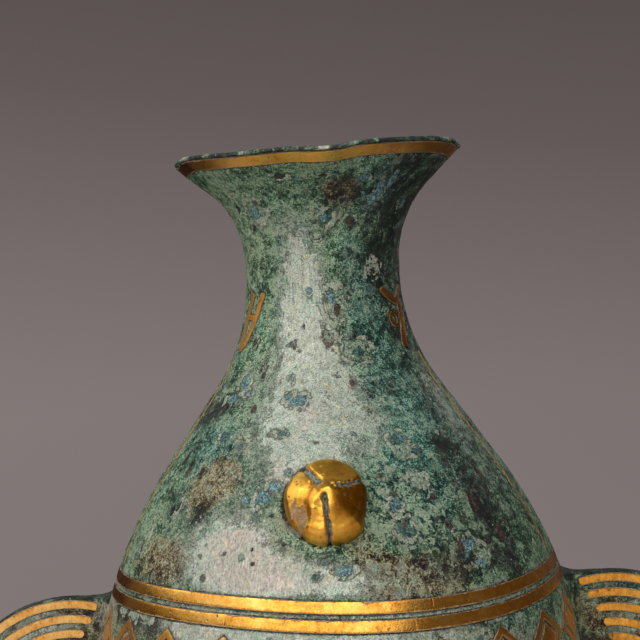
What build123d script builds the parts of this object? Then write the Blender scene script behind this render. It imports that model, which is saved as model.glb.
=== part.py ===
from build123d import *
import os
from math import cos, degrees, radians, sin

# Bronze hu vessel with gold inlay. Millimetres, +Z up, the origin at the middle of the foot's
# lower face. The front, with the boss, looks along -Y and the handles stand out along X.

# Wall of the vessel, from the foot up
foot_height = 26.0
belly_lower_radius = 88.0
belly_lower_turn = 58.0
belly_upper_radius = 180.0
shoulder_slope = 35.0
shoulder_length = 43.9
neck_arc_radius = 85.0
throat_radius = 33.8
throat_length = 4.9
flare_arc_radius = 45.0
flare_turn = 47.0
lip_length = 19.7
wall = 2.8
lip_edge = 1.6
floor_thickness = 3.2

# Foot ring
foot_wall = 7.5
foot_step_height = 7.0
foot_step_out = 2.0
foot_flare = 3.5
foot_base_width = 6.0
spigot_height = 3.0
spigot_width = 4.0
spigot_clearance = 0.15

# Gold sheet let into the bronze
inlay_depth = 0.8
seat_gap = 0.05

# Bands and lozenges, measured along the wall
rim_band_margin = 1.8
rim_band_width = 6.0
register_start = 11.2
band_width = 4.9
band_gap = 2.2
lozenge_margin = 3.4
lozenge_height = 24.0
lozenge_width = 27.0
lozenge_stroke = 2.8
lozenge_line_gap = 1.4
lozenge_places = 22

# Neck ornament and side lines
left_motif_azimuth = -58.0
right_motif_azimuth = 63.0
motif_stroke = 3.1
motif_bar_stroke = 2.4
motif_stem_stroke = 4.2
motif_ring_radius = 3.6
motif_ring_stroke = 1.8
motif_reach = 36.0
side_line_width = 1.4
side_line_turn = 15.0
side_line_margin = 3.0
side_line_neck_share = 0.72

# Handles
handle_radius = 57.0
handle_strap = 34.0
handle_thickness = 7.5
handle_stand_off = 13.1
handle_drop = 5.6
handle_chamfer = 1.2
pad_width = 24.0
pad_margin = 1.5
pad_thickness = 2.5
pad_corner = 6.0
tenon_width = 4.5
tenon_height = 18.0
tenon_clearance = 0.15
tenon_cap_margin = 4.0
tenon_cap_thickness = 2.4
stripe_count = 5
stripe_width = 3.2
stripe_pitch = 6.55
stripe_edge_margin = 3.6
stripe_half_turn = 103.0
stripe_turn_step = 4.5

# Bosses
boss_latitude = 33.5
boss_radius = 17.8
boss_edge_radius = 8.0
boss_edge_turn = 45.0
boss_sheet = 0.8
boss_skirt = 6.0
groove_angles = (-85.0, 20.0, 140.0)
groove_width = 2.2
groove_depth = 1.6
groove_start = 3.5
groove_bow = 2.2
shank_radius = 4.5
shank_clearance = 0.1
rove_radius = 9.0
rove_thickness = 2.4

# Heights and radii that follow from the wall
slope_sin = sin(radians(shoulder_slope))
slope_rest = 1.0 - cos(radians(shoulder_slope))
floor_z = foot_height
widest_z = floor_z + belly_lower_radius * sin(radians(belly_lower_turn))
shoulder_low_z = widest_z + belly_upper_radius * slope_sin
shoulder_high_z = shoulder_low_z + shoulder_length * cos(radians(shoulder_slope))
throat_low_z = shoulder_high_z + neck_arc_radius * slope_sin
throat_high_z = throat_low_z + throat_length
shoulder_high_radius = throat_radius + neck_arc_radius * slope_rest
shoulder_low_radius = shoulder_high_radius + shoulder_length * slope_sin
widest_radius = shoulder_low_radius + belly_upper_radius * slope_rest
floor_radius = widest_radius - belly_lower_radius * (1.0 - cos(radians(belly_lower_turn)))

# Register of bands and lozenges, as lengths up the wall from the widest point
belly_band_lower_start = register_start
belly_band_upper_start = belly_band_lower_start + band_width + band_gap
lozenge_start = belly_band_upper_start + band_width + lozenge_margin
shoulder_band_lower_start = lozenge_start + lozenge_height + lozenge_margin
shoulder_band_upper_start = shoulder_band_lower_start + band_width + band_gap
shoulder_band_end = shoulder_band_upper_start + band_width

# Handle loop in its own plane
handle_x = widest_radius + handle_stand_off
handle_z = widest_z - handle_drop
hole_radius = handle_radius - handle_strap
root_offset = hole_radius + handle_strap / 2


def lower_wall(depth):
    """Draws the wall from the throat down to the floor, at a depth under the outer face."""
    neck = JernArc(
        (throat_radius - depth, throat_low_z), (0, -1), neck_arc_radius + depth, shoulder_slope
    )
    shoulder = Line(neck @ 1, neck @ 1 + shoulder_length * (neck % 1))
    upper = JernArc(shoulder @ 1, shoulder % 1, belly_upper_radius - depth, -shoulder_slope)
    lower = JernArc(upper @ 1, upper % 1, belly_lower_radius - depth, -belly_lower_turn)
    return lower @ 1


def upper_wall(depth, thinning=0.0):
    """Draws the wall from the throat up to the lip; thinning closes the lip on the outer face."""
    throat = Line((throat_radius - depth, throat_low_z), (throat_radius - depth, throat_high_z))
    flare = JernArc(throat @ 1, (0, 1), flare_arc_radius + depth, -flare_turn)
    out = flare % 1
    lip = Line(flare @ 1, flare @ 1 + lip_length * out + thinning * Vector(out.Y, -out.X))
    return lip @ 1


def vessel_blank(depth):
    """Solid body inside the wall face that lies at a depth under the outer face."""
    with BuildPart() as blank:
        with BuildSketch(Plane.XZ):
            with BuildLine():
                low = lower_wall(depth)
                high = upper_wall(depth)
                Polyline(low, (0, low.Y), (0, high.Y), high)
            make_face()
        revolve(axis=Axis.Z)
    return blank.part


def radial(azimuth):
    """Outward direction at an azimuth, from the front and to the right of it."""
    return Vector(sin(radians(azimuth)), -cos(radians(azimuth)), 0)


def sideways(azimuth):
    """Level direction to the right at an azimuth, seen from outside."""
    return Vector(cos(radians(azimuth)), sin(radians(azimuth)), 0)


def belly_plane(azimuth, latitude):
    """Plane on the upper belly, with its normal out of the wall and its Y up the wall."""
    reach = widest_radius - belly_upper_radius * (1.0 - cos(radians(latitude)))
    height = widest_z + belly_upper_radius * sin(radians(latitude))
    out = radial(azimuth) * cos(radians(latitude)) + Vector(0, 0, sin(radians(latitude)))
    return Plane(radial(azimuth) * reach + Vector(0, 0, height), sideways(azimuth), out)


def belly_band(start, width):
    """Gold hoop let into the upper belly, placed by its length up the wall."""
    middle = (widest_radius - belly_upper_radius, widest_z)
    first = degrees(start / belly_upper_radius)
    sweep_angle = degrees(width / belly_upper_radius)
    with BuildPart() as band:
        with BuildSketch(Plane.XZ):
            with BuildLine():
                outer = CenterArc(middle, belly_upper_radius, first, sweep_angle)
                inner = CenterArc(middle, belly_upper_radius - inlay_depth, first, sweep_angle)
                Line(outer @ 0, inner @ 0)
                Line(outer @ 1, inner @ 1)
            make_face()
        revolve(axis=Axis.Z)
    return band.part


# Skin of the wall that the inlays are cut from
with BuildPart() as skin:
    add(vessel_blank(0))
    add(vessel_blank(inlay_depth), mode=Mode.SUBTRACT)

# Gold band under the lip
with BuildPart() as rim_band:
    with BuildSketch(Plane.XZ):
        with BuildLine(mode=Mode.PRIVATE) as lip_face:
            upper_wall(0)
        lip_end = lip_face.edges().sort_by(Axis.Y)[-1] @ 1
        lip_out = lip_face.edges().sort_by(Axis.Y)[-1] % 1
        lip_in = Vector(-lip_out.Y, lip_out.X)
        band_top = lip_end - rim_band_margin * lip_out
        band_low = band_top - rim_band_width * lip_out
        with BuildLine():
            Polyline(
                band_top,
                band_low,
                band_low + inlay_depth * lip_in,
                band_top + inlay_depth * lip_in,
                close=True,
            )
        make_face()
    revolve(axis=Axis.Z)

# Gold bands round the belly and the shoulder
with BuildPart() as belly_band_lower:
    add(belly_band(belly_band_lower_start, band_width))

with BuildPart() as belly_band_upper:
    add(belly_band(belly_band_upper_start, band_width))

with BuildPart() as shoulder_band_lower:
    add(belly_band(shoulder_band_lower_start, band_width))

with BuildPart() as shoulder_band_upper:
    add(belly_band(shoulder_band_upper_start, band_width))

# Lozenges round the belly; the two places under the handles stay empty
lozenge_latitude = degrees((lozenge_start + lozenge_height / 2) / belly_upper_radius)
lozenge_step = 360.0 / lozenge_places
lozenge_planes = []
for place in range(lozenge_places):
    azimuth = lozenge_step * (place + 0.5)
    if abs(sin(radians(azimuth))) < cos(radians(lozenge_step / 2)):
        lozenge_planes.append(belly_plane(azimuth, lozenge_latitude))
lozenge_shrink = lozenge_height / (lozenge_height**2 + lozenge_width**2) ** 0.5


def diamond(inset):
    """Diamond points, moved in from the outline by an inset square to its sides."""
    half_width = lozenge_width / 2 - inset / lozenge_shrink
    half_height = half_width * lozenge_height / lozenge_width
    return [(half_width, 0), (0, half_height), (-half_width, 0), (0, -half_height)]


with BuildPart() as lozenge_frames:
    with BuildSketch(*lozenge_planes):
        Polygon(*diamond(0))
        Polygon(*diamond(lozenge_stroke), mode=Mode.SUBTRACT)
    extrude(amount=lozenge_stroke, both=True)
    add(skin.part, mode=Mode.INTERSECT)

with BuildPart() as lozenge_centres:
    with BuildSketch(*lozenge_planes):
        Polygon(*diamond(lozenge_stroke + lozenge_line_gap))
    extrude(amount=lozenge_stroke, both=True)
    add(skin.part, mode=Mode.INTERSECT)

# Neck ornament on the left: two slanting strokes closed at the foot, with a bar across
left_motif_plane = Plane((0, 0, 0), sideways(left_motif_azimuth), radial(left_motif_azimuth))
with BuildPart() as left_neck_inlay_front:
    with BuildSketch(left_motif_plane.offset(throat_radius / 2)):
        with BuildLine() as outer_stroke:
            Spline((-1.2, 281.6), (-5.2, 271.1), (-7.5, 257.6))
        trace(line_width=motif_stroke)
        with BuildLine() as inner_stroke:
            Spline((6.6, 281.6), (2.4, 271.1), (-1.6, 262.6), (-7.2, 257.0))
        trace(line_width=motif_stroke)
        with BuildLine() as cross_bar:
            Line((-7.2, 271.4), (2.2, 270.9))
        trace(line_width=motif_bar_stroke)
    extrude(amount=motif_reach)
    add(skin.part, mode=Mode.INTERSECT)

with BuildPart() as left_neck_inlay_rear:
    add(mirror(left_neck_inlay_front.part, about=Plane.XZ, mode=Mode.PRIVATE))

# Neck ornament on the right: a fork, a ring and a slanting stem
right_motif_plane = Plane((0, 0, 0), sideways(right_motif_azimuth), radial(right_motif_azimuth))
with BuildPart() as right_neck_inlay_front:
    with BuildSketch(right_motif_plane.offset(throat_radius / 2)):
        with BuildLine() as fork_left:
            Spline((-9.0, 281.5), (-4.0, 277.5), (1.8, 275.0))
        trace(line_width=motif_stroke)
        with BuildLine() as fork_right:
            Spline((7.6, 282.5), (4.6, 278.2), (1.2, 275.6))
        trace(line_width=motif_stroke)
        with BuildLine() as stem:
            Spline((4.9, 272.0), (2.6, 265.0), (-2.6, 256.0))
        trace(line_width=motif_stem_stroke)
        with Locations((-3.4, 268.0)):
            Circle(motif_ring_radius)
            Circle(motif_ring_radius - motif_ring_stroke, mode=Mode.SUBTRACT)
    extrude(amount=motif_reach)
    add(skin.part, mode=Mode.INTERSECT)

with BuildPart() as right_neck_inlay_rear:
    add(mirror(right_neck_inlay_front.part, about=Plane.XZ, mode=Mode.PRIVATE))

# Pairs of thin gold lines down both sides, from the neck to the shoulder bands
side_line_low = widest_z + belly_upper_radius * sin(shoulder_band_end / belly_upper_radius)
side_line_low = side_line_low + side_line_margin
side_line_high = throat_low_z - side_line_neck_share * neck_arc_radius * slope_sin
side_line_planes = []
for azimuth in (90.0 - side_line_turn, 90.0 + side_line_turn):
    side_line_foot = radial(azimuth) * throat_radius / 2 + Vector(0, 0, side_line_low)
    side_line_planes.append(Plane(side_line_foot, sideways(azimuth), radial(azimuth)))
with BuildPart() as right_side_lines:
    with BuildSketch(*side_line_planes):
        Rectangle(
            side_line_width, side_line_high - side_line_low, align=(Align.CENTER, Align.MIN)
        )
    extrude(amount=widest_radius)
    add(skin.part, mode=Mode.INTERSECT)

with BuildPart() as left_side_lines:
    add(mirror(right_side_lines.part, about=Plane.YZ, mode=Mode.PRIVATE))

# Strap handle on the right, with its pads and its tenons, and gold stripes on both faces
root_heights = ((0, handle_z + root_offset), (0, handle_z - root_offset))


def stripe_group(side):
    """Five stripes on one face of the right handle; side is -1 for the front, 1 for the rear."""
    flank = Plane((0, side * handle_thickness / 2, 0), (1, 0, 0), (0, -1, 0))
    with BuildPart() as stripes:
        with BuildSketch(flank):
            for stripe in range(stripe_count):
                reach = handle_radius - stripe_edge_margin - stripe * stripe_pitch
                half_turn = stripe_half_turn - stripe * stripe_turn_step
                with BuildLine(mode=Mode.PRIVATE):
                    run = CenterArc((handle_x, handle_z), reach, -half_turn, 2 * half_turn)
                SlotArc(run, stripe_width)
        extrude(amount=side * inlay_depth)
    return stripes.part


with BuildPart() as right_handle_stripes_front:
    add(stripe_group(-1))

with BuildPart() as right_handle_stripes_rear:
    add(stripe_group(1))

with BuildPart() as handle_plate:
    with BuildSketch(Plane.XZ):
        with Locations((handle_x, handle_z)):
            Circle(handle_radius)
            Rectangle(handle_radius, 2 * handle_radius, align=(Align.MAX, Align.CENTER))
            Circle(hole_radius, mode=Mode.SUBTRACT)
            Rectangle(
                handle_radius,
                2 * hole_radius,
                align=(Align.MAX, Align.CENTER),
                mode=Mode.SUBTRACT,
            )
    extrude(amount=handle_thickness / 2, both=True)
    chamfer(handle_plate.faces().filter_by(Axis.Y).edges(), length=handle_chamfer)

with BuildPart() as right_handle:
    with BuildSketch(Plane.YZ):
        with Locations(*root_heights):
            RectangleRounded(pad_width, handle_strap + 2 * pad_margin, pad_corner)
    extrude(amount=handle_x)
    add(vessel_blank(-seat_gap - pad_thickness), mode=Mode.INTERSECT)
    add(handle_plate.part)
    add(vessel_blank(-seat_gap), mode=Mode.SUBTRACT)
    with BuildSketch(Plane.YZ):
        with Locations(*root_heights):
            Rectangle(tenon_width, tenon_height)
    extrude(amount=handle_x)
    add(vessel_blank(wall + seat_gap + tenon_cap_thickness), mode=Mode.SUBTRACT)
    add(right_handle_stripes_front.part, mode=Mode.SUBTRACT)
    add(right_handle_stripes_rear.part, mode=Mode.SUBTRACT)

# Openings for the tenons, and the caps that lock their ends inside the wall
with BuildPart() as tenon_holes:
    with BuildSketch(Plane.YZ):
        with Locations(*root_heights):
            Rectangle(tenon_width + 2 * tenon_clearance, tenon_height + 2 * tenon_clearance)
    extrude(amount=handle_x)

with BuildPart() as right_handle_tenon_caps:
    with BuildSketch(Plane.YZ):
        with Locations(*root_heights):
            RectangleRounded(
                tenon_width + 2 * tenon_cap_margin,
                tenon_height + 2 * tenon_cap_margin,
                tenon_cap_margin,
            )
    extrude(amount=handle_x)
    add(vessel_blank(wall + seat_gap), mode=Mode.INTERSECT)
    add(vessel_blank(wall + seat_gap + tenon_cap_thickness), mode=Mode.SUBTRACT)
    add(tenon_holes.part, mode=Mode.SUBTRACT)

# The left side mirrors the right one
with BuildPart() as left_handle:
    add(mirror(right_handle.part, about=Plane.YZ, mode=Mode.PRIVATE))

with BuildPart() as left_handle_stripes_front:
    add(mirror(right_handle_stripes_front.part, about=Plane.YZ, mode=Mode.PRIVATE))

with BuildPart() as left_handle_stripes_rear:
    add(mirror(right_handle_stripes_rear.part, about=Plane.YZ, mode=Mode.PRIVATE))

with BuildPart() as left_handle_tenon_caps:
    add(mirror(right_handle_tenon_caps.part, about=Plane.YZ, mode=Mode.PRIVATE))

# Boss on the front: a domed stud with three curved grooves, under a sheet cap
boss_plane = belly_plane(0, boss_latitude)


def boss_dome(depth):
    """Dome of the boss, shrunk by a depth, with a skirt that runs down into the wall."""
    section = Plane(boss_plane.origin, boss_plane.x_dir, -boss_plane.y_dir)
    with BuildPart() as dome:
        with BuildSketch(section):
            with BuildLine():
                edge = JernArc(
                    (boss_radius - depth, 0), (0, 1), boss_edge_radius - depth, boss_edge_turn
                )
                crown_radius = (edge @ 1).X / cos(radians(boss_edge_turn))
                crown = JernArc(edge @ 1, edge % 1, crown_radius, 90 - boss_edge_turn)
                Polyline(
                    edge @ 0,
                    (boss_radius - depth, -boss_skirt),
                    (0, -boss_skirt),
                    (0, (crown @ 1).Y),
                )
            make_face()
        revolve(axis=Axis(boss_plane.origin, boss_plane.z_dir))
    return dome.part


def boss_grooves(depth):
    """Three curved grooves for the dome at a depth; their walls stand back by the same depth."""
    with BuildPart() as grooves:
        with BuildSketch(boss_plane.offset(-2 * boss_skirt)):
            with BuildLine(mode=Mode.PRIVATE):
                run = SagittaArc((groove_start, 0), (boss_radius + groove_width, 0), groove_bow)
            for angle in groove_angles:
                SlotArc(run, groove_width + 2 * depth, rotation=angle)
        extrude(amount=2 * boss_skirt + boss_radius)
        add(boss_dome(depth + groove_depth), mode=Mode.SUBTRACT)
    return grooves.part


with BuildPart() as front_boss_stud:
    add(boss_dome(boss_sheet))
    add(boss_grooves(boss_sheet), mode=Mode.SUBTRACT)
    add(vessel_blank(-seat_gap), mode=Mode.SUBTRACT)
    with BuildSketch(boss_plane):
        Circle(shank_radius)
    extrude(amount=-2 * boss_radius)
    add(vessel_blank(wall + seat_gap + rove_thickness), mode=Mode.SUBTRACT)

with BuildPart() as front_boss_cap:
    add(boss_dome(0))
    add(boss_grooves(0), mode=Mode.SUBTRACT)
    add(vessel_blank(-seat_gap), mode=Mode.SUBTRACT)
    add(front_boss_stud.part, mode=Mode.SUBTRACT)

with BuildPart() as front_boss_rove:
    with BuildSketch(boss_plane):
        Circle(rove_radius)
        Circle(shank_radius + shank_clearance, mode=Mode.SUBTRACT)
    extrude(amount=-2 * boss_radius)
    add(vessel_blank(wall + seat_gap), mode=Mode.INTERSECT)
    add(vessel_blank(wall + seat_gap + rove_thickness), mode=Mode.SUBTRACT)

# The same boss on the back
with BuildPart() as rear_boss_stud:
    add(front_boss_stud.part, rotation=(0, 0, 180))

with BuildPart() as rear_boss_cap:
    add(front_boss_cap.part, rotation=(0, 0, 180))

with BuildPart() as rear_boss_rove:
    add(front_boss_rove.part, rotation=(0, 0, 180))

# Cast wall with its floor, the spigot for the foot and every channel and opening
channels = (
    rim_band,
    belly_band_lower,
    belly_band_upper,
    shoulder_band_lower,
    shoulder_band_upper,
    lozenge_frames,
    lozenge_centres,
    left_neck_inlay_front,
    left_neck_inlay_rear,
    right_neck_inlay_front,
    right_neck_inlay_rear,
    left_side_lines,
    right_side_lines,
)
spigot_radius = floor_radius - foot_wall - spigot_clearance
with BuildPart() as vessel_body:
    with BuildSketch(Plane.XZ):
        with BuildLine():
            outer_low = lower_wall(0)
            outer_high = upper_wall(0)
            inner_low = lower_wall(wall)
            inner_high = upper_wall(wall, wall - lip_edge)
            Line(outer_high, inner_high)
            Polyline(
                inner_low,
                (inner_low.X, floor_z + floor_thickness),
                (0, floor_z + floor_thickness),
                (0, floor_z),
                outer_low,
            )
        make_face()
    revolve(axis=Axis.Z)
    with BuildSketch(Plane.XY.offset(floor_z)):
        Circle(spigot_radius)
        Circle(spigot_radius - spigot_width, mode=Mode.SUBTRACT)
    extrude(amount=-spigot_height)
    with BuildSketch(boss_plane, belly_plane(180, boss_latitude)):
        Circle(shank_radius + shank_clearance)
    extrude(amount=-boss_radius, mode=Mode.SUBTRACT)
    for channel in channels:
        add(channel.part, mode=Mode.SUBTRACT)
    for half_turn in (0, 180):
        add(tenon_holes.part, rotation=(0, 0, half_turn), mode=Mode.SUBTRACT)

# Foot ring with a stepped lower edge
with BuildPart() as ring_foot:
    with BuildSketch(Plane.XZ):
        with BuildLine():
            flare_low = (floor_radius + foot_flare, foot_step_height)
            side = ThreePointArc(
                (floor_radius, foot_height),
                (floor_radius + foot_flare / 4, (foot_height + foot_step_height) / 2),
                flare_low,
            )
            base_out = floor_radius + foot_flare + foot_step_out
            Polyline(
                side @ 1,
                (base_out, foot_step_height),
                (base_out, 0),
                (base_out - foot_base_width, 0),
                (floor_radius - foot_wall, foot_height - spigot_height),
                (floor_radius - foot_wall, foot_height),
                side @ 0,
            )
        make_face()
    revolve(axis=Axis.Z)

pieces = {
    "vessel_body": vessel_body,
    "ring_foot": ring_foot,
    "left_handle": left_handle,
    "right_handle": right_handle,
    "left_handle_tenon_caps": left_handle_tenon_caps,
    "right_handle_tenon_caps": right_handle_tenon_caps,
    "front_boss_stud": front_boss_stud,
    "rear_boss_stud": rear_boss_stud,
    "front_boss_rove": front_boss_rove,
    "rear_boss_rove": rear_boss_rove,
    "front_boss_cap": front_boss_cap,
    "rear_boss_cap": rear_boss_cap,
    "rim_band": rim_band,
    "shoulder_band_upper": shoulder_band_upper,
    "shoulder_band_lower": shoulder_band_lower,
    "belly_band_upper": belly_band_upper,
    "belly_band_lower": belly_band_lower,
    "lozenge_frames": lozenge_frames,
    "lozenge_centres": lozenge_centres,
    "left_neck_inlay_front": left_neck_inlay_front,
    "left_neck_inlay_rear": left_neck_inlay_rear,
    "right_neck_inlay_front": right_neck_inlay_front,
    "right_neck_inlay_rear": right_neck_inlay_rear,
    "left_side_lines": left_side_lines,
    "right_side_lines": right_side_lines,
    "left_handle_stripes_front": left_handle_stripes_front,
    "left_handle_stripes_rear": left_handle_stripes_rear,
    "right_handle_stripes_front": right_handle_stripes_front,
    "right_handle_stripes_rear": right_handle_stripes_rear,
}
os.makedirs("parts", exist_ok=True)
for name, piece in pieces.items():
    piece.part.label = name
    export_step(piece.part, "parts/" + name + ".step")
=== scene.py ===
import logging
import math
from collections.abc import Callable, Sequence
from dataclasses import dataclass, field
from enum import Enum, IntEnum
from itertools import product

import bpy
import numpy as np
from mathutils import Matrix, Vector
from mathutils.bvhtree import BVHTree


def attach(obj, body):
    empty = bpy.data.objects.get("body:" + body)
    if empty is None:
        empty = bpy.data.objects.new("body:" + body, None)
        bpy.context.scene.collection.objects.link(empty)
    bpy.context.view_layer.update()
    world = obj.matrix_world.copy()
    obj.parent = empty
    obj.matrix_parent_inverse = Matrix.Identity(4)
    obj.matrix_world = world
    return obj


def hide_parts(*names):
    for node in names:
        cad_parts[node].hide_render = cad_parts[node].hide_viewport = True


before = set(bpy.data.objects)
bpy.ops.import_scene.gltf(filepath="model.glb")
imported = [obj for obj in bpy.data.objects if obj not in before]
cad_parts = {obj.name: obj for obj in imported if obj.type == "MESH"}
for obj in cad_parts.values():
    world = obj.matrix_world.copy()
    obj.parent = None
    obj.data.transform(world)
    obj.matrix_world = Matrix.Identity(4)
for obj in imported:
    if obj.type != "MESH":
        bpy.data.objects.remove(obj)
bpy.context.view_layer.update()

# Looks of a bronze hu vessel with gold inlay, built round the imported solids. Metres, +Z up, the
# boss towards -Y. Azimuth 0 is the front and grows to the right of it, seen from the front.

MM = 0.001
BODY = "root"
GOLD_SHARP = 50.0  # degrees over which an edge of the gold stays sharp
log = logging.getLogger("hu_vessel")

Array = np.ndarray
Colour = tuple[float, float, float]
Ramp = tuple[tuple[float, Colour], ...]
Material = bpy.types.Material
Piece = bpy.types.Object
Socket = bpy.types.NodeSocket


class Side(Enum):
    """Side of the vessel that a handle stands on."""

    LEFT = -1
    RIGHT = 1


class Face(Enum):
    """Front or rear of the vessel."""

    FRONT = -1
    REAR = 1


class Tone(Enum):
    """Tones of the patina, each kept as a weight on the mesh. The pale tone is partly a painted highlight
    on the front, and the dark tone partly painted shade on the right side.
    """

    PALE = "tone_pale"
    TEAL = "tone_teal"
    MINT = "tone_mint"
    DARK = "tone_dark"
    EARTH = "tone_earth"
    LILAC = "tone_lilac"


class Mineral(Enum):
    """Minerals of the blisters, each kept as a weight on the mesh."""

    AZURITE = "spot_blue"
    TEAL = "spot_teal"
    CUPRITE = "spot_red"
    CHALKY = "spot_chalk"
    PIT = "spot_pit"


class Seed(IntEnum):
    """Seeds of the noise; the tones take one more for each tone."""

    GOLD_EDGE = 3
    BODY_CRUST = 5
    BODY_GRIT = 6
    LIP_CHIPS = 8
    INSIDE = 9
    LIP_WEAR = 10
    SWELL = 11
    HANDLE_CRUST = 14
    HANDLE_GRIT = 15
    HANDLE_SWELL = 16
    FOOT_CRUST = 17
    FOOT_SWELL = 18
    BOSS_DENTS = 21
    BOSS_TEARS = 22
    BOSS_GROOVES = 23
    SCATTER = 29
    STRIPES = 30
    BODY_TONES = 40
    LEFT_HANDLE_TONES = 60
    RIGHT_HANDLE_TONES = 66
    BLISTER_OUTLINE = 71
    BLISTER_RING = 72
    FOOT_TONES = 80


# Names of the other values that the meshes store
RING = "spot_ring"
GOLD_GAP = "gold_gap"
EDGE = "edge"
ALONG = "along"
GROOVE = "groove"
# The last two carry painted shade on the gold: a darkening, and a duller umber finish, where it would
# reflect dark surroundings.
PAINTED_SHADE = "dull"
SHADE_UMBER = "matte"


def held(values: Array) -> Array:
    """Values held to 0 to 1."""
    return np.clip(values, 0.0, 1.0)


def ease(low: float, high: float, value: Array) -> Array:
    """Smooth step of a value from low to high, from 0 to 1."""
    t = held((value - low) / (high - low))
    return t * t * (3.0 - 2.0 * t)


def lengths(points: Array) -> Array:
    """Length along a line at each of its points."""
    return np.concatenate([[0.0], np.cumsum(np.linalg.norm(np.diff(points, axis=0), axis=1))])


def ring_turns(columns: int) -> Array:
    """Azimuths round the vessel's axis, from the rear round by the left."""
    return np.linspace(-math.pi, math.pi, columns, endpoint=False)


def turned(rows: Array, columns: int) -> Array:
    """Grid of a line that is turned round the vessel's axis.

    Args:
        rows: Radius and height of each point of the line.
        columns: Points round the axis.

    Returns:
        Points as (row, column, 3).
    """
    azimuth, reach = np.meshgrid(ring_turns(columns), rows[:, 0])
    height = np.repeat(rows[:, 1:2], columns, 1)
    return np.stack((reach * np.sin(azimuth), -reach * np.cos(azimuth), height), -1)


def arc(middle: tuple[float, float], radius: float, first: float, last: float,
        out: float = 1.0, count: int = 500) -> Array:
    """Points and normals along an arc.

    Args:
        middle: Radius and height of its middle.
        radius: Arc radius.
        first: Angle at the first end.
        last: Angle at the last end.
        out: 1 where the normal points away from the middle, -1 where it points to it.
        count: Points wanted.

    Returns:
        Rows of radius, height and the two parts of the normal.
    """
    turn = np.linspace(first, last, count)
    ray = np.stack((np.cos(turn), np.sin(turn)), 1)
    return np.concatenate((np.array(middle) + radius * ray, out * ray), 1)


class Relief:
    """Seeded noise on points in metres, for relief that wall and gold share."""

    SIZE = 256
    CORNER = 77.3  # keeps all places on one side of the lattice's corner
    LAYER_SHIFT = 0.013  # metres between one layer and the next

    def __init__(self, seed: int) -> None:
        """Draws the lattice from a seed."""
        draw = np.random.default_rng(seed)
        self.order = draw.permutation(self.SIZE)
        self.level = draw.uniform(-1.0, 1.0, self.SIZE)

    def sample(self, points: Array, pitch: float) -> Array:
        """Noise of one pitch.

        Args:
            points: Places, one per row.
            pitch: Distance between the lattice points.

        Returns:
            One value from -1 to 1 per place.
        """
        grid = points / pitch + self.CORNER
        cell = np.floor(grid).astype(np.int64)
        part = grid - cell
        part = part * part * part * (part * (part * 6.0 - 15.0) + 10.0)
        last = self.SIZE - 1
        total = np.zeros(len(points))
        for corner in product((0, 1), repeat=3):
            spot = (cell + np.array(corner)) & last
            code = self.order[(self.order[spot[:, 0]] + spot[:, 1]) & last]
            code = self.order[(code + spot[:, 2]) & last]
            share = np.prod(np.where(np.array(corner) == 1, part, 1.0 - part), axis=1)
            total += share * self.level[code]
        return total

    def layered(self, points: Array, pitch: float, octaves: int = 4, gain: float = 0.55) -> Array:
        """Noise of several pitches, each half the one before.

        Args:
            points: Places, one per row.
            pitch: Widest distance between lattice points.
            octaves: Number of layers.
            gain: Strength of a layer against the one before.

        Returns:
            One value, mostly from -1 to 1, per place.
        """
        total = np.zeros(len(points))
        weight, reach = 1.0, 0.0
        for step in range(octaves):
            total += weight * self.sample(points + self.LAYER_SHIFT * step, pitch / 2**step)
            reach += weight
            weight *= gain
        return total / reach


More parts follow.
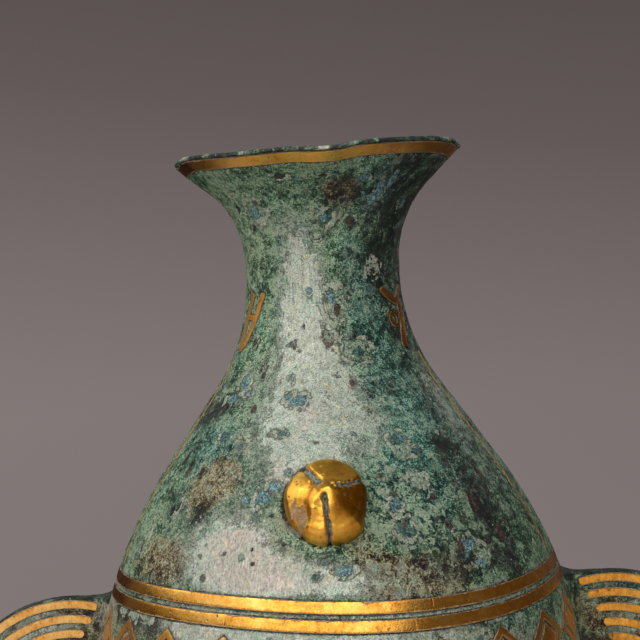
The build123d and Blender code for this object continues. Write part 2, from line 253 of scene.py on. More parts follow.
@dataclass
class Wall:
    """Outer face of the vessel as one line from the foot to the lip, with the lip's warp."""

    foot_height: float = 26.0 * MM
    belly_lower_radius: float = 88.0 * MM
    belly_lower_turn: float = math.radians(58.0)
    belly_upper_radius: float = 180.0 * MM
    shoulder_slope: float = math.radians(35.0)
    shoulder_length: float = 43.9 * MM
    neck_arc_radius: float = 85.0 * MM
    throat_radius: float = 33.8 * MM
    throat_length: float = 4.9 * MM
    flare_arc_radius: float = 45.0 * MM
    flare_turn: float = math.radians(47.0)
    lip_length: float = 19.7 * MM
    thickness: float = 2.8 * MM
    lip_edge: float = 1.6 * MM
    floor_thickness: float = 3.2 * MM
    lip_turns: tuple[float, ...] = (
        -180, -150, -120, -90, -76, -64, -50, -32, -19, -8, -1, 5, 11, 17, 24, 37, 54, 70, 88, 110, 150
    )
    lip_heights: tuple[float, ...] = (
        -1.0, -1.5, -2.2, -2.6, -1.4, -0.2, -0.65, -1.0, -0.8, -0.4, -1.0,
        -0.9, -0.7, 0.9, 1.45, 2.1, 2.8, 2.7, 1.4, 1.2, 0.2
    )
    lip_chip: float = 0.35 * MM
    band_slip: float = 5.2 * MM
    lip_reach: float = 46.0 * MM
    swell: float = 0.22 * MM
    swell_pitch: float = 46.0 * MM
    line: dict[str, Array] = field(init=False, repr=False)
    lip_line: Array = field(init=False, repr=False)
    noise: Relief = field(init=False, repr=False)

    def __post_init__(self) -> None:
        """Lays the line and the lip's warp."""
        self.noise = Relief(Seed.SWELL)
        slope_sin, slope_cos = math.sin(self.shoulder_slope), math.cos(self.shoulder_slope)
        self.widest_z = self.foot_height + self.belly_lower_radius * math.sin(self.belly_lower_turn)
        low_z = self.widest_z + self.belly_upper_radius * slope_sin
        high_z = low_z + self.shoulder_length * slope_cos
        self.throat_low_z = high_z + self.neck_arc_radius * slope_sin
        throat_high_z = self.throat_low_z + self.throat_length
        high_r = self.throat_radius + self.neck_arc_radius * (1.0 - slope_cos)
        low_r = high_r + self.shoulder_length * slope_sin
        self.widest_r = low_r + self.belly_upper_radius * (1.0 - slope_cos)
        self.widest_s = self.belly_lower_radius * self.belly_lower_turn
        inward = math.pi
        runs = [
            arc((self.widest_r - self.belly_lower_radius, self.widest_z),
                self.belly_lower_radius, -self.belly_lower_turn, 0.0),
            arc((self.widest_r - self.belly_upper_radius, self.widest_z),
                self.belly_upper_radius, 0.0, self.shoulder_slope),
            self.straight((low_r, low_z), (high_r, high_z)),
            arc((self.throat_radius + self.neck_arc_radius, self.throat_low_z),
                self.neck_arc_radius, inward + self.shoulder_slope, inward, -1.0),
            self.straight((self.throat_radius, self.throat_low_z), (self.throat_radius, throat_high_z)),
            arc((self.throat_radius + self.flare_arc_radius, throat_high_z),
                self.flare_arc_radius, inward, inward - self.flare_turn, -1.0),
        ]
        start = runs[-1][-1, :2]
        end = start + self.lip_length * np.array([math.sin(self.flare_turn), math.cos(self.flare_turn)])
        runs.append(self.straight(tuple(start), tuple(end)))
        rows = np.concatenate([runs[0]] + [run[1:] for run in runs[1:]])
        self.line = {
            "s": lengths(rows[:, :2]),
            "r": rows[:, 0], "z": rows[:, 1], "nr": rows[:, 2], "nz": rows[:, 3],
        }
        self.length = float(self.line["s"][-1])
        turns = np.arange(-180, 180)
        heights = np.interp(turns, self.lip_turns, self.lip_heights, period=360) * MM
        blur = np.exp(-0.5 * (np.arange(-9, 10) / 2.6) ** 2)
        wrapped = np.concatenate([heights[-9:], heights, heights[:9]])
        self.lip_line = np.convolve(wrapped, blur / blur.sum(), mode="valid")

    @staticmethod
    def straight(start: tuple[float, float], end: tuple[float, float]) -> Array:
        """Rows of radius, height and outward normal along a straight run.

        Args:
            start: Lower end.
            end: Upper end.

        Returns:
            Rows of r, z, nr, nz.
        """
        first, last = np.array(start), np.array(end)
        way = (last - first) / np.linalg.norm(last - first)
        rows = first + np.linspace(0.0, 1.0, 200)[:, None] * (last - first)
        return np.concatenate((rows, np.tile([way[1], -way[0]], (200, 1))), 1)

    def at(self, s: Array) -> tuple[Array, Array, Array, Array]:
        """Radius, height and normal at lengths up the wall."""
        known = self.line["s"]
        return tuple(np.interp(s, known, self.line[key]) for key in ("r", "z", "nr", "nz"))

    def up_to(self, z: Array) -> Array:
        """Length up the wall at a height."""
        return np.interp(z, self.line["z"], self.line["s"])

    def radius_at(self, z: Array) -> Array:
        """Wall radius at a height."""
        return np.interp(z, self.line["z"], self.line["r"])

    def lip_shift(self, azimuth: Array, s: Array) -> Array:
        """How far the warped lip stands above its true circle."""
        fade = ease(self.length - self.lip_reach, self.length, s) ** 1.4
        worn = self.lip_chip * ease(self.length - 2.4 * MM, self.length, s)
        return fade * np.interp(np.degrees(azimuth), np.arange(-180, 180), self.lip_line, period=360) - worn

    def slip(self, azimuth: Array, s: Array) -> Array:
        """How far the belly's hand-laid bands stray up or down the wall."""
        window = ease(70 * MM, 95 * MM, s) * ease(195 * MM, 165 * MM, s)
        return -self.band_slip * np.sin(azimuth) * np.cos(azimuth) ** 2 * window

    def place(self, azimuth: Array, s: Array, lift: Array) -> Array:
        """Points on the wall, with the swell of the casting and the warp of the lip.

        Args:
            azimuth: Turn from the front, in radians.
            s: Length up the wall.
            lift: Height out of the wall.

        Returns:
            Points, with one more axis than the inputs.
        """
        azimuth, s, lift = np.broadcast_arrays(azimuth, s, lift)
        r, z, nr, nz = self.at(s + self.slip(azimuth, s))
        flat = np.stack((r * np.sin(azimuth), -r * np.cos(azimuth), z), -1)
        swell = self.swell * self.noise.layered(flat.reshape(-1, 3), self.swell_pitch, 2)
        out = lift + swell.reshape(lift.shape) * ease(0.0, 30 * MM, s)
        reach = r + nr * out
        height = z + nz * out + self.lip_shift(azimuth, s)
        return np.stack((reach * np.sin(azimuth), -reach * np.cos(azimuth), height), -1)

    def scale(self, azimuth: Array, s: Array) -> Array:
        """Metres of wall per radian of azimuth."""
        return self.at(s)[0] + 0.0 * azimuth


@dataclass
class MeshStore:
    """Gathers grids of points with their weights, and turns them into one mesh object."""

    points: list[Array] = field(default_factory=list)
    faces: list[Array] = field(default_factory=list)
    weights: dict[str, list[Array]] = field(default_factory=dict)
    count: int = 0

    def add(self, grid: Array, round_u: bool, round_v: bool, caps: bool = False,
            weights: dict[str, Array] | None = None, flip: bool = False) -> None:
        """Adds a grid of quads.

        Args:
            grid: Points as (u, v, 3).
            round_u: The first axis closes on itself.
            round_v: The second axis closes on itself.
            caps: Closes both ends of the first axis.
            weights: Values as (u, v), or what spreads to them, by attribute name.
            flip: Turns the second axis round, and the faces with it.
        """
        rows, columns = grid.shape[:2]
        way = -1 if flip else 1
        index = self.count + np.arange(rows * columns).reshape(rows, columns)
        below = np.concatenate((index, index[:1])) if round_u else index
        if round_v:
            below = np.concatenate((below, below[:, :1]), 1)
        quads = np.stack((below[:-1, :-1], below[:-1, 1:], below[1:, 1:], below[1:, :-1]), -1)
        self.faces.append(quads.reshape(-1, 4))
        if caps:
            self.faces.append(index[0][::-1][None, :])
            self.faces.append(index[-1][None, :])
        self.points.append(grid[:, ::way].reshape(-1, 3))
        for name, values in (weights or {}).items():
            full = np.broadcast_to(values, (rows, columns))
            self.weights.setdefault(name, []).append(full[:, ::way].ravel())
        self.count += rows * columns

    def build(self, name: str, sharp: float | None = None) -> Piece:
        """Makes the mesh object.

        Args:
            name: Name of the piece.
            sharp: Angle in degrees over which an edge stays sharp; all smooth where None.

        Returns:
            The new object, linked to the scene.
        """
        mesh = bpy.data.meshes.new(name)
        faces = [tuple(face) for group in self.faces for face in group.tolist()]
        mesh.from_pydata(np.concatenate(self.points).tolist(), [], faces)
        for key, values in self.weights.items():
            layer = mesh.attributes.new(key, "FLOAT", "POINT")
            layer.data.foreach_set("value", np.concatenate(values).astype(np.float32))
        mesh.shade_smooth()
        if sharp is not None:
            mesh.set_sharp_from_angle(angle=math.radians(sharp))
        made = bpy.data.objects.new(name, mesh)
        bpy.context.scene.collection.objects.link(made)
        return made


def vectors_of(items: bpy.types.bpy_prop_collection, key: str) -> Array:
    """One vector per item of a mesh, as rows."""
    out = np.zeros(len(items) * 3, np.float32)
    items.foreach_get(key, out)
    return out.reshape(-1, 3).astype(float)


def set_points(piece: Piece, points: Array) -> None:
    """Moves the vertices of a piece's mesh."""
    piece.data.vertices.foreach_set("co", points.astype(np.float32).ravel())
    piece.data.update()


def set_weight(piece: Piece, name: str, values: Array) -> None:
    """Stores one value per vertex under a name."""
    layer = piece.data.attributes.get(name) or piece.data.attributes.new(name, "FLOAT", "POINT")
    layer.data.foreach_set("value", values.astype(np.float32))


def patches(points: Array, seed: int, pitch: float, bases: dict[Tone, float]) -> dict[Tone, Array]:
    """Patchy weights of patina tones about their bases, from one seed on, not yet held to 0 to 1."""
    return {tone: base + 0.9 * Relief(seed + number).layered(points, pitch, 3, 0.6)
            for number, (tone, base) in enumerate(bases.items())}


def settle(piece: Piece, node: str, material: Material) -> None:
    """Dresses a piece, puts it on the body and hides the solid that it stands for.

    Args:
        piece: The piece.
        node: Name of the solid it replaces.
        material: Its finish.
    """
    piece.data.materials.clear()
    piece.data.materials.append(material)
    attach(piece, BODY)
    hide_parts(node)
    log.info("%s: %d faces", piece.name, len(piece.data.polygons))


class Nearness:
    """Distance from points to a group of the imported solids."""

    def __init__(self, names: Sequence[str]) -> None:
        """Gathers the solids' faces.

        Args:
            names: Node names.
        """
        corners: list[tuple[float, float, float]] = []
        faces: list[tuple[int, ...]] = []
        for name in names:
            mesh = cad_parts[name].data
            base = len(corners)
            corners.extend(tuple(v.co) for v in mesh.vertices)
            faces.extend(tuple(base + i for i in p.vertices) for p in mesh.polygons)
        self.tree = BVHTree.FromPolygons(corners, faces)

    def measure(self, points: Array, limit: float) -> Array:
        """Distance from each point, at most a limit.

        Args:
            points: Places, one per row.
            limit: Largest distance that is told apart.

        Returns:
            One distance per place.
        """
        out = np.full(len(points), limit)
        for i, point in enumerate(points.tolist()):
            found = self.tree.find_nearest(point, limit)
            if found[0] is not None:
                out[i] = found[3]
        return out


class Graph:
    """Lays the shader nodes of one material."""

    def __init__(self, name: str) -> None:
        """Starts a material with its shader and the object's own coordinates."""
        self.material = bpy.data.materials.new(name)
        self.material.use_nodes = True
        self.tree = self.material.node_tree
        self.shader = next(n for n in self.tree.nodes if n.type == "BSDF_PRINCIPLED")
        self.home = self.node("ShaderNodeTexCoord").outputs["Object"]

    def node(self, kind: str, inputs: dict[int | str, object] | None = None,
             **settings: object) -> bpy.types.Node:
        """Adds a node with its settings and inputs."""
        made = self.tree.nodes.new(kind)
        for key, value in settings.items():
            setattr(made, key, value)
        for key, value in (inputs or {}).items():
            self.feed(made.inputs[key], value)
        return made

    def feed(self, socket: Socket, value: object) -> None:
        """Links a socket to another, or sets its number or colour."""
        if isinstance(value, Socket):
            self.tree.links.new(value, socket)
        elif isinstance(value, tuple) and len(value) == 3 and socket.type == "RGBA":
            socket.default_value = (*value, 1.0)
        else:
            socket.default_value = value

    def weight(self, name: str) -> Socket:
        """Value that the mesh stores under a name."""
        return self.node("ShaderNodeAttribute", attribute_name=name).outputs["Fac"]

    def noise(self, scale: float, detail: float = 6.0, rough: float = 0.6, bend: float = 0.0,
              at: Socket | None = None) -> Socket:
        """Noise from 0 to 1.

        Args:
            scale: Lattice points per metre.
            detail: Layers.
            rough: Strength of the finer layers.
            bend: Distortion.
            at: Coordinates, the object's own by default.

        Returns:
            The noise value.
        """
        inputs = {"Vector": at or self.home, "Scale": scale, "Detail": detail, "Roughness": rough,
                  "Distortion": bend}
        return self.node("ShaderNodeTexNoise", inputs).outputs[0]

    def stretched(self, scale: Sequence[float], turn: Sequence[float] = (0.0, 0.0, 0.0)) -> Socket:
        """Coordinates scaled by axis after a turn in degrees."""
        inputs = {"Vector": self.home, "Rotation": tuple(map(math.radians, turn)), "Scale": tuple(scale)}
        return self.node("ShaderNodeMapping", inputs, vector_type="POINT").outputs[0]

    def shaken(self, scale: float, amount: float) -> Socket:
        """Coordinates pushed about by noise, so that cells lose their round shape."""
        push = self.node("ShaderNodeTexNoise", {"Vector": self.home, "Scale": scale, "Detail": 5.0})
        inputs = {0: push.outputs["Color"], 1: (amount, amount, amount), 2: self.home}
        return self.node("ShaderNodeVectorMath", inputs, operation="MULTIPLY_ADD").outputs[0]

    def cells(self, scale: float, at: Socket | None = None) -> tuple[Socket, Socket, Socket, Socket]:
        """Cells with a distance to their middle and three random values each."""
        made = self.node("ShaderNodeTexVoronoi", {"Vector": at or self.home, "Scale": scale})
        split = self.node("ShaderNodeSeparateColor", {0: made.outputs["Color"]})
        return made.outputs["Distance"], split.outputs[0], split.outputs[1], split.outputs[2]

    def math(self, kind: str, first: object, second: object = 0.0, third: object = 0.0,
             clamp: bool = False) -> Socket:
        """One sum on values."""
        inputs = {0: first, 1: second, 2: third}
        return self.node("ShaderNodeMath", inputs, operation=kind, use_clamp=clamp).outputs[0]

    def times(self, first: object, second: object) -> Socket:
        """Product of two values."""
        return self.math("MULTIPLY", first, second)

    def blend(self, *terms: tuple[object, float], base: float = 0.0, clamp: bool = False) -> Socket:
        """Weighted sum of values on a base."""
        total: object = base
        for number, (value, share) in enumerate(terms):
            last = clamp and number == len(terms) - 1
            total = self.math("MULTIPLY_ADD", value, share, total, last)
        return total

    def step(self, value: object, low: object, high: object) -> Socket:
        """Smooth step from 0 at low to 1 at high."""
        inputs = {"Value": value, "From Min": low, "From Max": high}
        return self.node("ShaderNodeMapRange", inputs, interpolation_type="SMOOTHSTEP").outputs[0]

    def mix(self, share: object, first: object, second: object, kind: str = "MIX") -> Socket:
        """Colour between two."""
        inputs = {0: share, 6: first, 7: second}
        return self.node("ShaderNodeMix", inputs, data_type="RGBA", blend_type=kind).outputs[2]

    def ramp(self, value: object, *stops: tuple[float, Colour]) -> Socket:
        """Colour from a row of stops."""
        made = self.node("ShaderNodeValToRGB", {0: value})
        keys = made.color_ramp.elements
        while len(keys) < len(stops):
            keys.new(0.5)
        for key, (place, colour) in zip(keys, stops):
            key.position = place
            key.color = (*colour, 1.0)
        return made.outputs[0]

    def bump(self, height: object, depth: float) -> Socket:
        """Normal from a height, where 1 stands for a depth in metres."""
        inputs = {"Strength": 1.0, "Distance": depth, "Height": height}
        return self.node("ShaderNodeBump", inputs).outputs[0]

    def finish(self, **sockets: object) -> Material:
        """Feeds the shader's sockets, named with _ for a space."""
        for key, value in sockets.items():
            self.feed(self.shader.inputs[key.replace("_", " ")], value)
        return self.material


CRUST_DEPTHS = (0.06, 0.24, 0.4, 0.55, 0.72, 0.92)
GREEN: tuple[Colour, ...] = (
    (0.006, 0.013, 0.008), (0.021, 0.057, 0.032), (0.056, 0.158, 0.085),
    (0.11, 0.276, 0.145), (0.25, 0.45, 0.245), (0.59, 0.72, 0.43),
)
BLUE_GREEN: tuple[Colour, ...] = (
    (0.004, 0.012, 0.012), (0.01, 0.053, 0.046), (0.028, 0.146, 0.115),
    (0.066, 0.256, 0.192), (0.178, 0.43, 0.32), (0.47, 0.68, 0.52),
)
BROWN: tuple[Colour, ...] = (
    (0.012, 0.006, 0.004), (0.042, 0.025, 0.013), (0.112, 0.078, 0.031),
    (0.205, 0.158, 0.064), (0.36, 0.29, 0.138), (0.62, 0.53, 0.31),
)
# pale silver of worn metal, bright enough to paint part of the highlight on the front
SILVER: Ramp = (
    (0.1, (0.15, 0.162, 0.135)), (0.32, (0.325, 0.366, 0.31)),
    (0.52, (0.495, 0.562, 0.486)), (0.8, (0.74, 0.805, 0.71)),
)
FLAKE: Ramp = (
    (0.34, (0.125, 0.25, 0.16)), (0.5, (0.32, 0.46, 0.29)), (0.68, (0.66, 0.73, 0.49)),
)
SORE: Ramp = ((0.4, (0.012, 0.02, 0.017)), (0.58, (0.04, 0.02, 0.019)))
SPECK: Ramp = (
    (0.0, (0.022, 0.016, 0.013)), (0.28, (0.018, 0.062, 0.064)), (0.48, (0.045, 0.14, 0.17)),
    (0.64, (0.14, 0.27, 0.31)), (0.82, (0.33, 0.43, 0.38)), (1.0, (0.085, 0.026, 0.022)),
)
RING_CRUST: Ramp = (
    (0.32, (0.18, 0.25, 0.18)), (0.48, (0.54, 0.6, 0.46)), (0.62, (0.8, 0.83, 0.68)),
)
MINERAL_SHADES: dict[Mineral, Ramp] = {
    Mineral.TEAL: (
        (0.34, (0.01, 0.045, 0.045)), (0.5, (0.045, 0.15, 0.14)), (0.66, (0.19, 0.36, 0.31)),
    ),
    Mineral.AZURITE: (
        (0.2, (0.012, 0.046, 0.085)), (0.38, (0.06, 0.18, 0.24)),
        (0.54, (0.21, 0.43, 0.46)), (0.72, (0.64, 0.8, 0.77)),
    ),
    Mineral.CUPRITE: (
        (0.36, (0.024, 0.01, 0.01)), (0.52, (0.09, 0.032, 0.03)), (0.68, (0.22, 0.115, 0.105)),
    ),
    Mineral.CHALKY: (
        (0.2, (0.085, 0.16, 0.11)), (0.42, (0.33, 0.46, 0.33)), (0.62, (0.74, 0.79, 0.62)),
    ),
    Mineral.PIT: ((0.32, (0.004, 0.004, 0.004)), (0.7, (0.03, 0.018, 0.016))),
}


@dataclass(frozen=True)
class PatinaFinish:
    """Aged bronze: silvery metal under green, blue, brown and chalky crust."""

    name: str
    tone_shift: float = 0.0
    earth_shift: float = 0.0
    pale_shift: float = 0.0
    speck_share: float = 0.66
    crust_height: float = 1.25 * MM

    def material(self) -> Material:
        """Lays the material's layers in order."""
        layers = PatinaLayers(self)
        layers.green_crust()
        layers.bare_metal()
        layers.flakes()
        layers.specks()
        layers.blisters()
        layers.pits()
        layers.gold_margin()
        return layers.close()


class PatinaLayers:
    """Layers of one patina, laid over each other from the old surface to crust and pits."""

    def __init__(self, finish: PatinaFinish) -> None:
        """Starts the material with the noises and weights that its layers share."""
        g = Graph(finish.name)
        self.g, self.finish = g, finish
        self.drift = g.noise(30.0, 5.0, 0.62)
        self.patch = g.noise(95.0, 5.0, 0.64, 0.6, g.shaken(60.0, 0.01))
        self.mid = g.noise(240.0, 6.0, 0.68, 0.5)
        self.wisp = g.noise(620.0, 4.0, 0.7, 1.2)
        self.grit = g.noise(1900.0, 2.0, 0.6)
        self.rag = g.blend((self.wisp, 1.5), (self.grit, 1.1), base=-1.3)
        weights = (g.weight(tone.value) for tone in Tone)
        self.pale, self.teal, self.mint, self.dark, self.earth, self.lilac = weights

    def lay(self, top: object, share: object, strength: float = 1.0) -> None:
        """Covers the colour so far with another, by a share."""
        self.colour = self.g.mix(self.g.times(share, strength), self.colour, top)

    def green_crust(self) -> None:
        """Lays green, blue-green and brown crust, paler where it is thick."""
        g, drift, mid, wisp, mint, pale = self.g, self.drift, self.mid, self.wisp, self.mint, self.pale
        rugged = g.times(mint, g.blend((mid, 2.6), (wisp, 2.2), (self.patch, 0.8), base=-2.8))
        # the dark tone deepens the crust: dark patina, and painted shade on the right side
        depth = g.blend((self.patch, 1.4), (mid, 1.5), (wisp, 2.6), (self.grit, 2.2), (drift, 0.5),
                        (mint, 0.2), (rugged, 1.0), (self.dark, -0.42), base=-4.07 + self.finish.tone_shift)
        even, level = g.blend((pale, -0.48), base=1.0), g.blend((pale, 0.13), base=0.49)
        depth = g.math("MULTIPLY_ADD", depth, even, level)
        shades = (g.ramp(depth, *zip(CRUST_DEPTHS, colours)) for colours in (GREEN, BLUE_GREEN, BROWN))
        self.colour, blue_green, brown = shades
        teal = g.blend((self.teal, 1.0), (drift, 1.6), (wisp, 0.6), (mid, 0.8), base=-1.35)
        self.lay(blue_green, g.step(teal, 0.1, 0.8))
        earth = g.blend((self.earth, 1.0), (mid, 1.5), (wisp, 0.8), (drift, 0.8),
                        base=-1.52 + self.finish.earth_shift)
        self.lay(brown, g.step(earth, 0.24, 0.72))
        tint = g.noise(470.0, 4.0, 0.72, 0.9)
        self.lay(brown, g.step(tint, 0.55, 0.66), 0.36)
        self.lay(blue_green, g.step(tint, 0.45, 0.35), 0.6)

    def bare_metal(self) -> None:
        """Lays silvery metal where the crust is worn away, brushed and warm in places; its pale colour,
        laid by the pale tone where the lamps' highlight falls on the front, is partly a painted highlight.
        """
        g, mid, wisp, grit, lilac = self.g, self.mid, self.wisp, self.grit, self.lilac
        streak = g.noise(1.0, 4.0, 0.6, 0.0, g.stretched((1100.0, 1100.0, 80.0), (0.0, 22.0, 0.0)))
        worn = g.blend((wisp, 1.05), (mid, 0.95), (grit, 1.9), (streak, 0.6), base=-2.235)
        worn = g.math("MULTIPLY_ADD", worn, g.blend((lilac, -0.62), base=1.0), 0.5)
        brushed = g.times(lilac, g.math("SUBTRACT", streak, 0.5))
        silver = g.ramp(g.blend((worn, 1.0), (brushed, 0.95)), *SILVER)
        warm = g.blend((g.noise(70.0, 4.0, 0.6), 1.6), (wisp, 0.5), (lilac, 0.75), base=-1.18)
        sheen = g.noise(165.0, 5.0, 0.66, 0.6)
        for share, tint in ((g.step(warm, 0.0, 0.75), (1.2, 0.96, 0.99)),
                            (g.step(sheen, 0.53, 0.66), (1.08, 1.01, 0.8)),
                            (g.step(sheen, 0.47, 0.34), (0.8, 0.99, 0.87))):
            silver = g.mix(share, silver, tint, "MULTIPLY")
        bared = g.blend((self.pale, 1.15), (mid, 1.1), (wisp, 0.9), (grit, 0.3), (self.patch, 0.6),
                        base=-1.47 + self.finish.pale_shift)
        # share of pale silver: worn metal, and on the front partly a painted highlight
        self.metal = g.step(bared, 0.05, 0.85)
        self.lay(silver, self.metal)
        self.thin = g.blend((self.metal, -0.65), base=1.0)

    def flakes(self) -> None:
        """Lays pale flakes, pale fibres and dark sores, fewer of them on bare metal."""
        g, patch, mid, wisp, grit = self.g, self.patch, self.mid, self.wisp, self.grit
        flake = g.blend((mid, 1.0), (wisp, 0.75), (patch, 0.6), (self.mint, 0.2), base=-1.175)
        self.flake = g.times(g.step(flake, 0.13, 0.21), self.thin)
        self.lay(g.ramp(g.blend((grit, 0.9), (wisp, 0.7), base=-0.3), *FLAKE), self.flake, 0.78)
        vein = g.math("ABSOLUTE", g.math("SUBTRACT", g.noise(330.0, 5.0, 0.72, 1.2), 0.5))
        self.fibre = g.times(g.step(vein, 0.03, 0.004), g.step(patch, 0.4, 0.62))
        self.lay((0.56, 0.62, 0.45), self.fibre, 0.5)
        sore = g.noise(120.0, 6.0, 0.7, 0.8, g.shaken(90.0, 0.006))
        sore = g.blend((sore, 1.0), (wisp, 0.5), (self.dark, 0.2), (self.earth, 0.05), base=-0.93)
        self.sore = g.times(g.step(sore, 0.02, 0.11), self.thin)
        self.lay(g.ramp(g.blend((self.drift, 1.0), (grit, 0.5), base=-0.25), *SORE), self.sore, 0.78)

    def specks(self) -> None:
        """Lays small round specks with pale halos."""
        g = self.g
        gap, pick, hue, size = g.cells(130.0, g.shaken(420.0, 0.0045))
        there = g.math("GREATER_THAN", pick, self.finish.speck_share)
        near = g.math("ADD", g.math("DIVIDE", gap, g.blend((size, 0.2), base=0.06)), self.rag)
        self.speck = g.times(g.step(near, 1.05, 0.55), there)
        self.halo = g.times(g.times(g.step(near, 1.8, 1.2), g.step(near, 0.75, 1.05)), there)
        self.lay((0.39, 0.45, 0.34), self.halo, 0.45)
        self.lay(g.ramp(hue, *SPECK), self.speck, 0.72)

    def blisters(self) -> None:
        """Lays the rings of the blisters with their shadows, then the mineral cores."""
        g, wisp, grit = self.g, self.wisp, self.grit
        line = g.blend((g.weight(RING), 1.0), (self.rag, 0.6))
        shadow = g.times(g.step(line, 0.16, 0.28), g.step(line, 0.46, 0.34))
        self.lay((0.024, 0.026, 0.02), shadow, 0.62)
        self.ring = g.step(line, 0.36, 0.6)
        self.lay(g.ramp(g.blend((grit, 1.0), (wisp, 0.6), base=-0.3), *RING_CRUST), self.ring, 0.8)
        self.cores: object = 0.0
        shade = g.blend((grit, 1.1), (wisp, 1.3), base=-0.73)
        for mineral, stops in MINERAL_SHADES.items():
            core = g.step(g.blend((g.weight(mineral.value), 1.0), (self.rag, 0.85)), 0.38, 0.64)
            self.lay(g.ramp(shade, *stops), core, 0.86)
            self.cores = g.math("ADD", self.cores, core, 0.0, True)

    def pits(self) -> None:
        """Lays pinholes, and painted glints: a few pale grains, more of them on the dark tone."""
        g = self.g
        gap, pick, glint, _ = g.cells(420.0, g.shaken(800.0, 0.0012))
        pit = g.times(g.step(gap, 0.26, 0.1), g.math("GREATER_THAN", pick, 0.66))
        self.pit = g.times(pit, self.thin)
        self.lay((0.02, 0.018, 0.014), self.pit, 0.62)
        # painted glints: pale specks standing in for crystals that catch the light
        painted_glint = g.step(g.blend((glint, 1.0), (self.dark, 0.09)), 0.95, 0.96)
        self.lay((0.7, 0.72, 0.65), g.times(g.step(gap, 0.2, 0.12), painted_glint), 0.8)

    def gold_margin(self) -> None:
        """Lays the dark seam round the gold, and pale crust that creeps up to it."""
        g = self.g
        margin = g.blend((g.weight(GOLD_GAP), 1.0), (self.rag, 0.8))
        self.seam = g.step(margin, 0.8, 0.25)
        patches = g.step(g.blend((self.patch, 1.0), (self.wisp, 0.5)), 0.76, 0.88)
        self.creep = g.times(g.step(margin, 2.4, 0.8), patches)
        self.lay((0.018, 0.011, 0.007), self.seam, 0.85)
        self.lay((0.43, 0.46, 0.35), self.creep, 0.7)

    def close(self) -> Material:
        """Feeds the shader: bare metal is smooth and shines, and crust stands up and shines less."""
        g, bare = self.g, self.metal
        for first, second in ((self.cores, self.ring), (self.seam, self.speck)):
            bare = g.times(bare, g.math("SUBTRACT", 1.0, g.math("MAXIMUM", first, second), 0.0, True))
        height = g.blend((self.patch, 0.5), (self.mid, 0.85), (self.wisp, 0.7), (self.grit, 0.55),
                         (self.flake, 0.2), (self.fibre, 0.08), (self.sore, -0.1), (self.ring, 0.2),
                         (self.halo, 0.12), (self.creep, 0.25), (self.pit, -0.3), (self.speck, -0.1))
        calm = g.blend((bare, -0.68), base=1.0)
        rough = g.blend((self.wisp, 0.35), (self.grit, 0.35), (bare, -0.1), (self.dark, -0.08),
                        base=0.22, clamp=True)
        return g.finish(
            Base_Color=self.colour,
            Metallic=g.times(bare, 0.5),
            Roughness=rough,
            Specular_IOR_Level=0.4,
            Normal=g.bump(g.times(height, calm), self.finish.crust_height),
        )


DRY_SOIL: Ramp = (
    (0.3, (0.07, 0.044, 0.024)), (0.48, (0.25, 0.175, 0.1)), (0.68, (0.6, 0.48, 0.33)),
)
GROOVE_SOIL: Ramp = (
    (0.34, (0.018, 0.019, 0.015)), (0.48, (0.1, 0.104, 0.08)), (0.64, (0.38, 0.39, 0.31)),
)


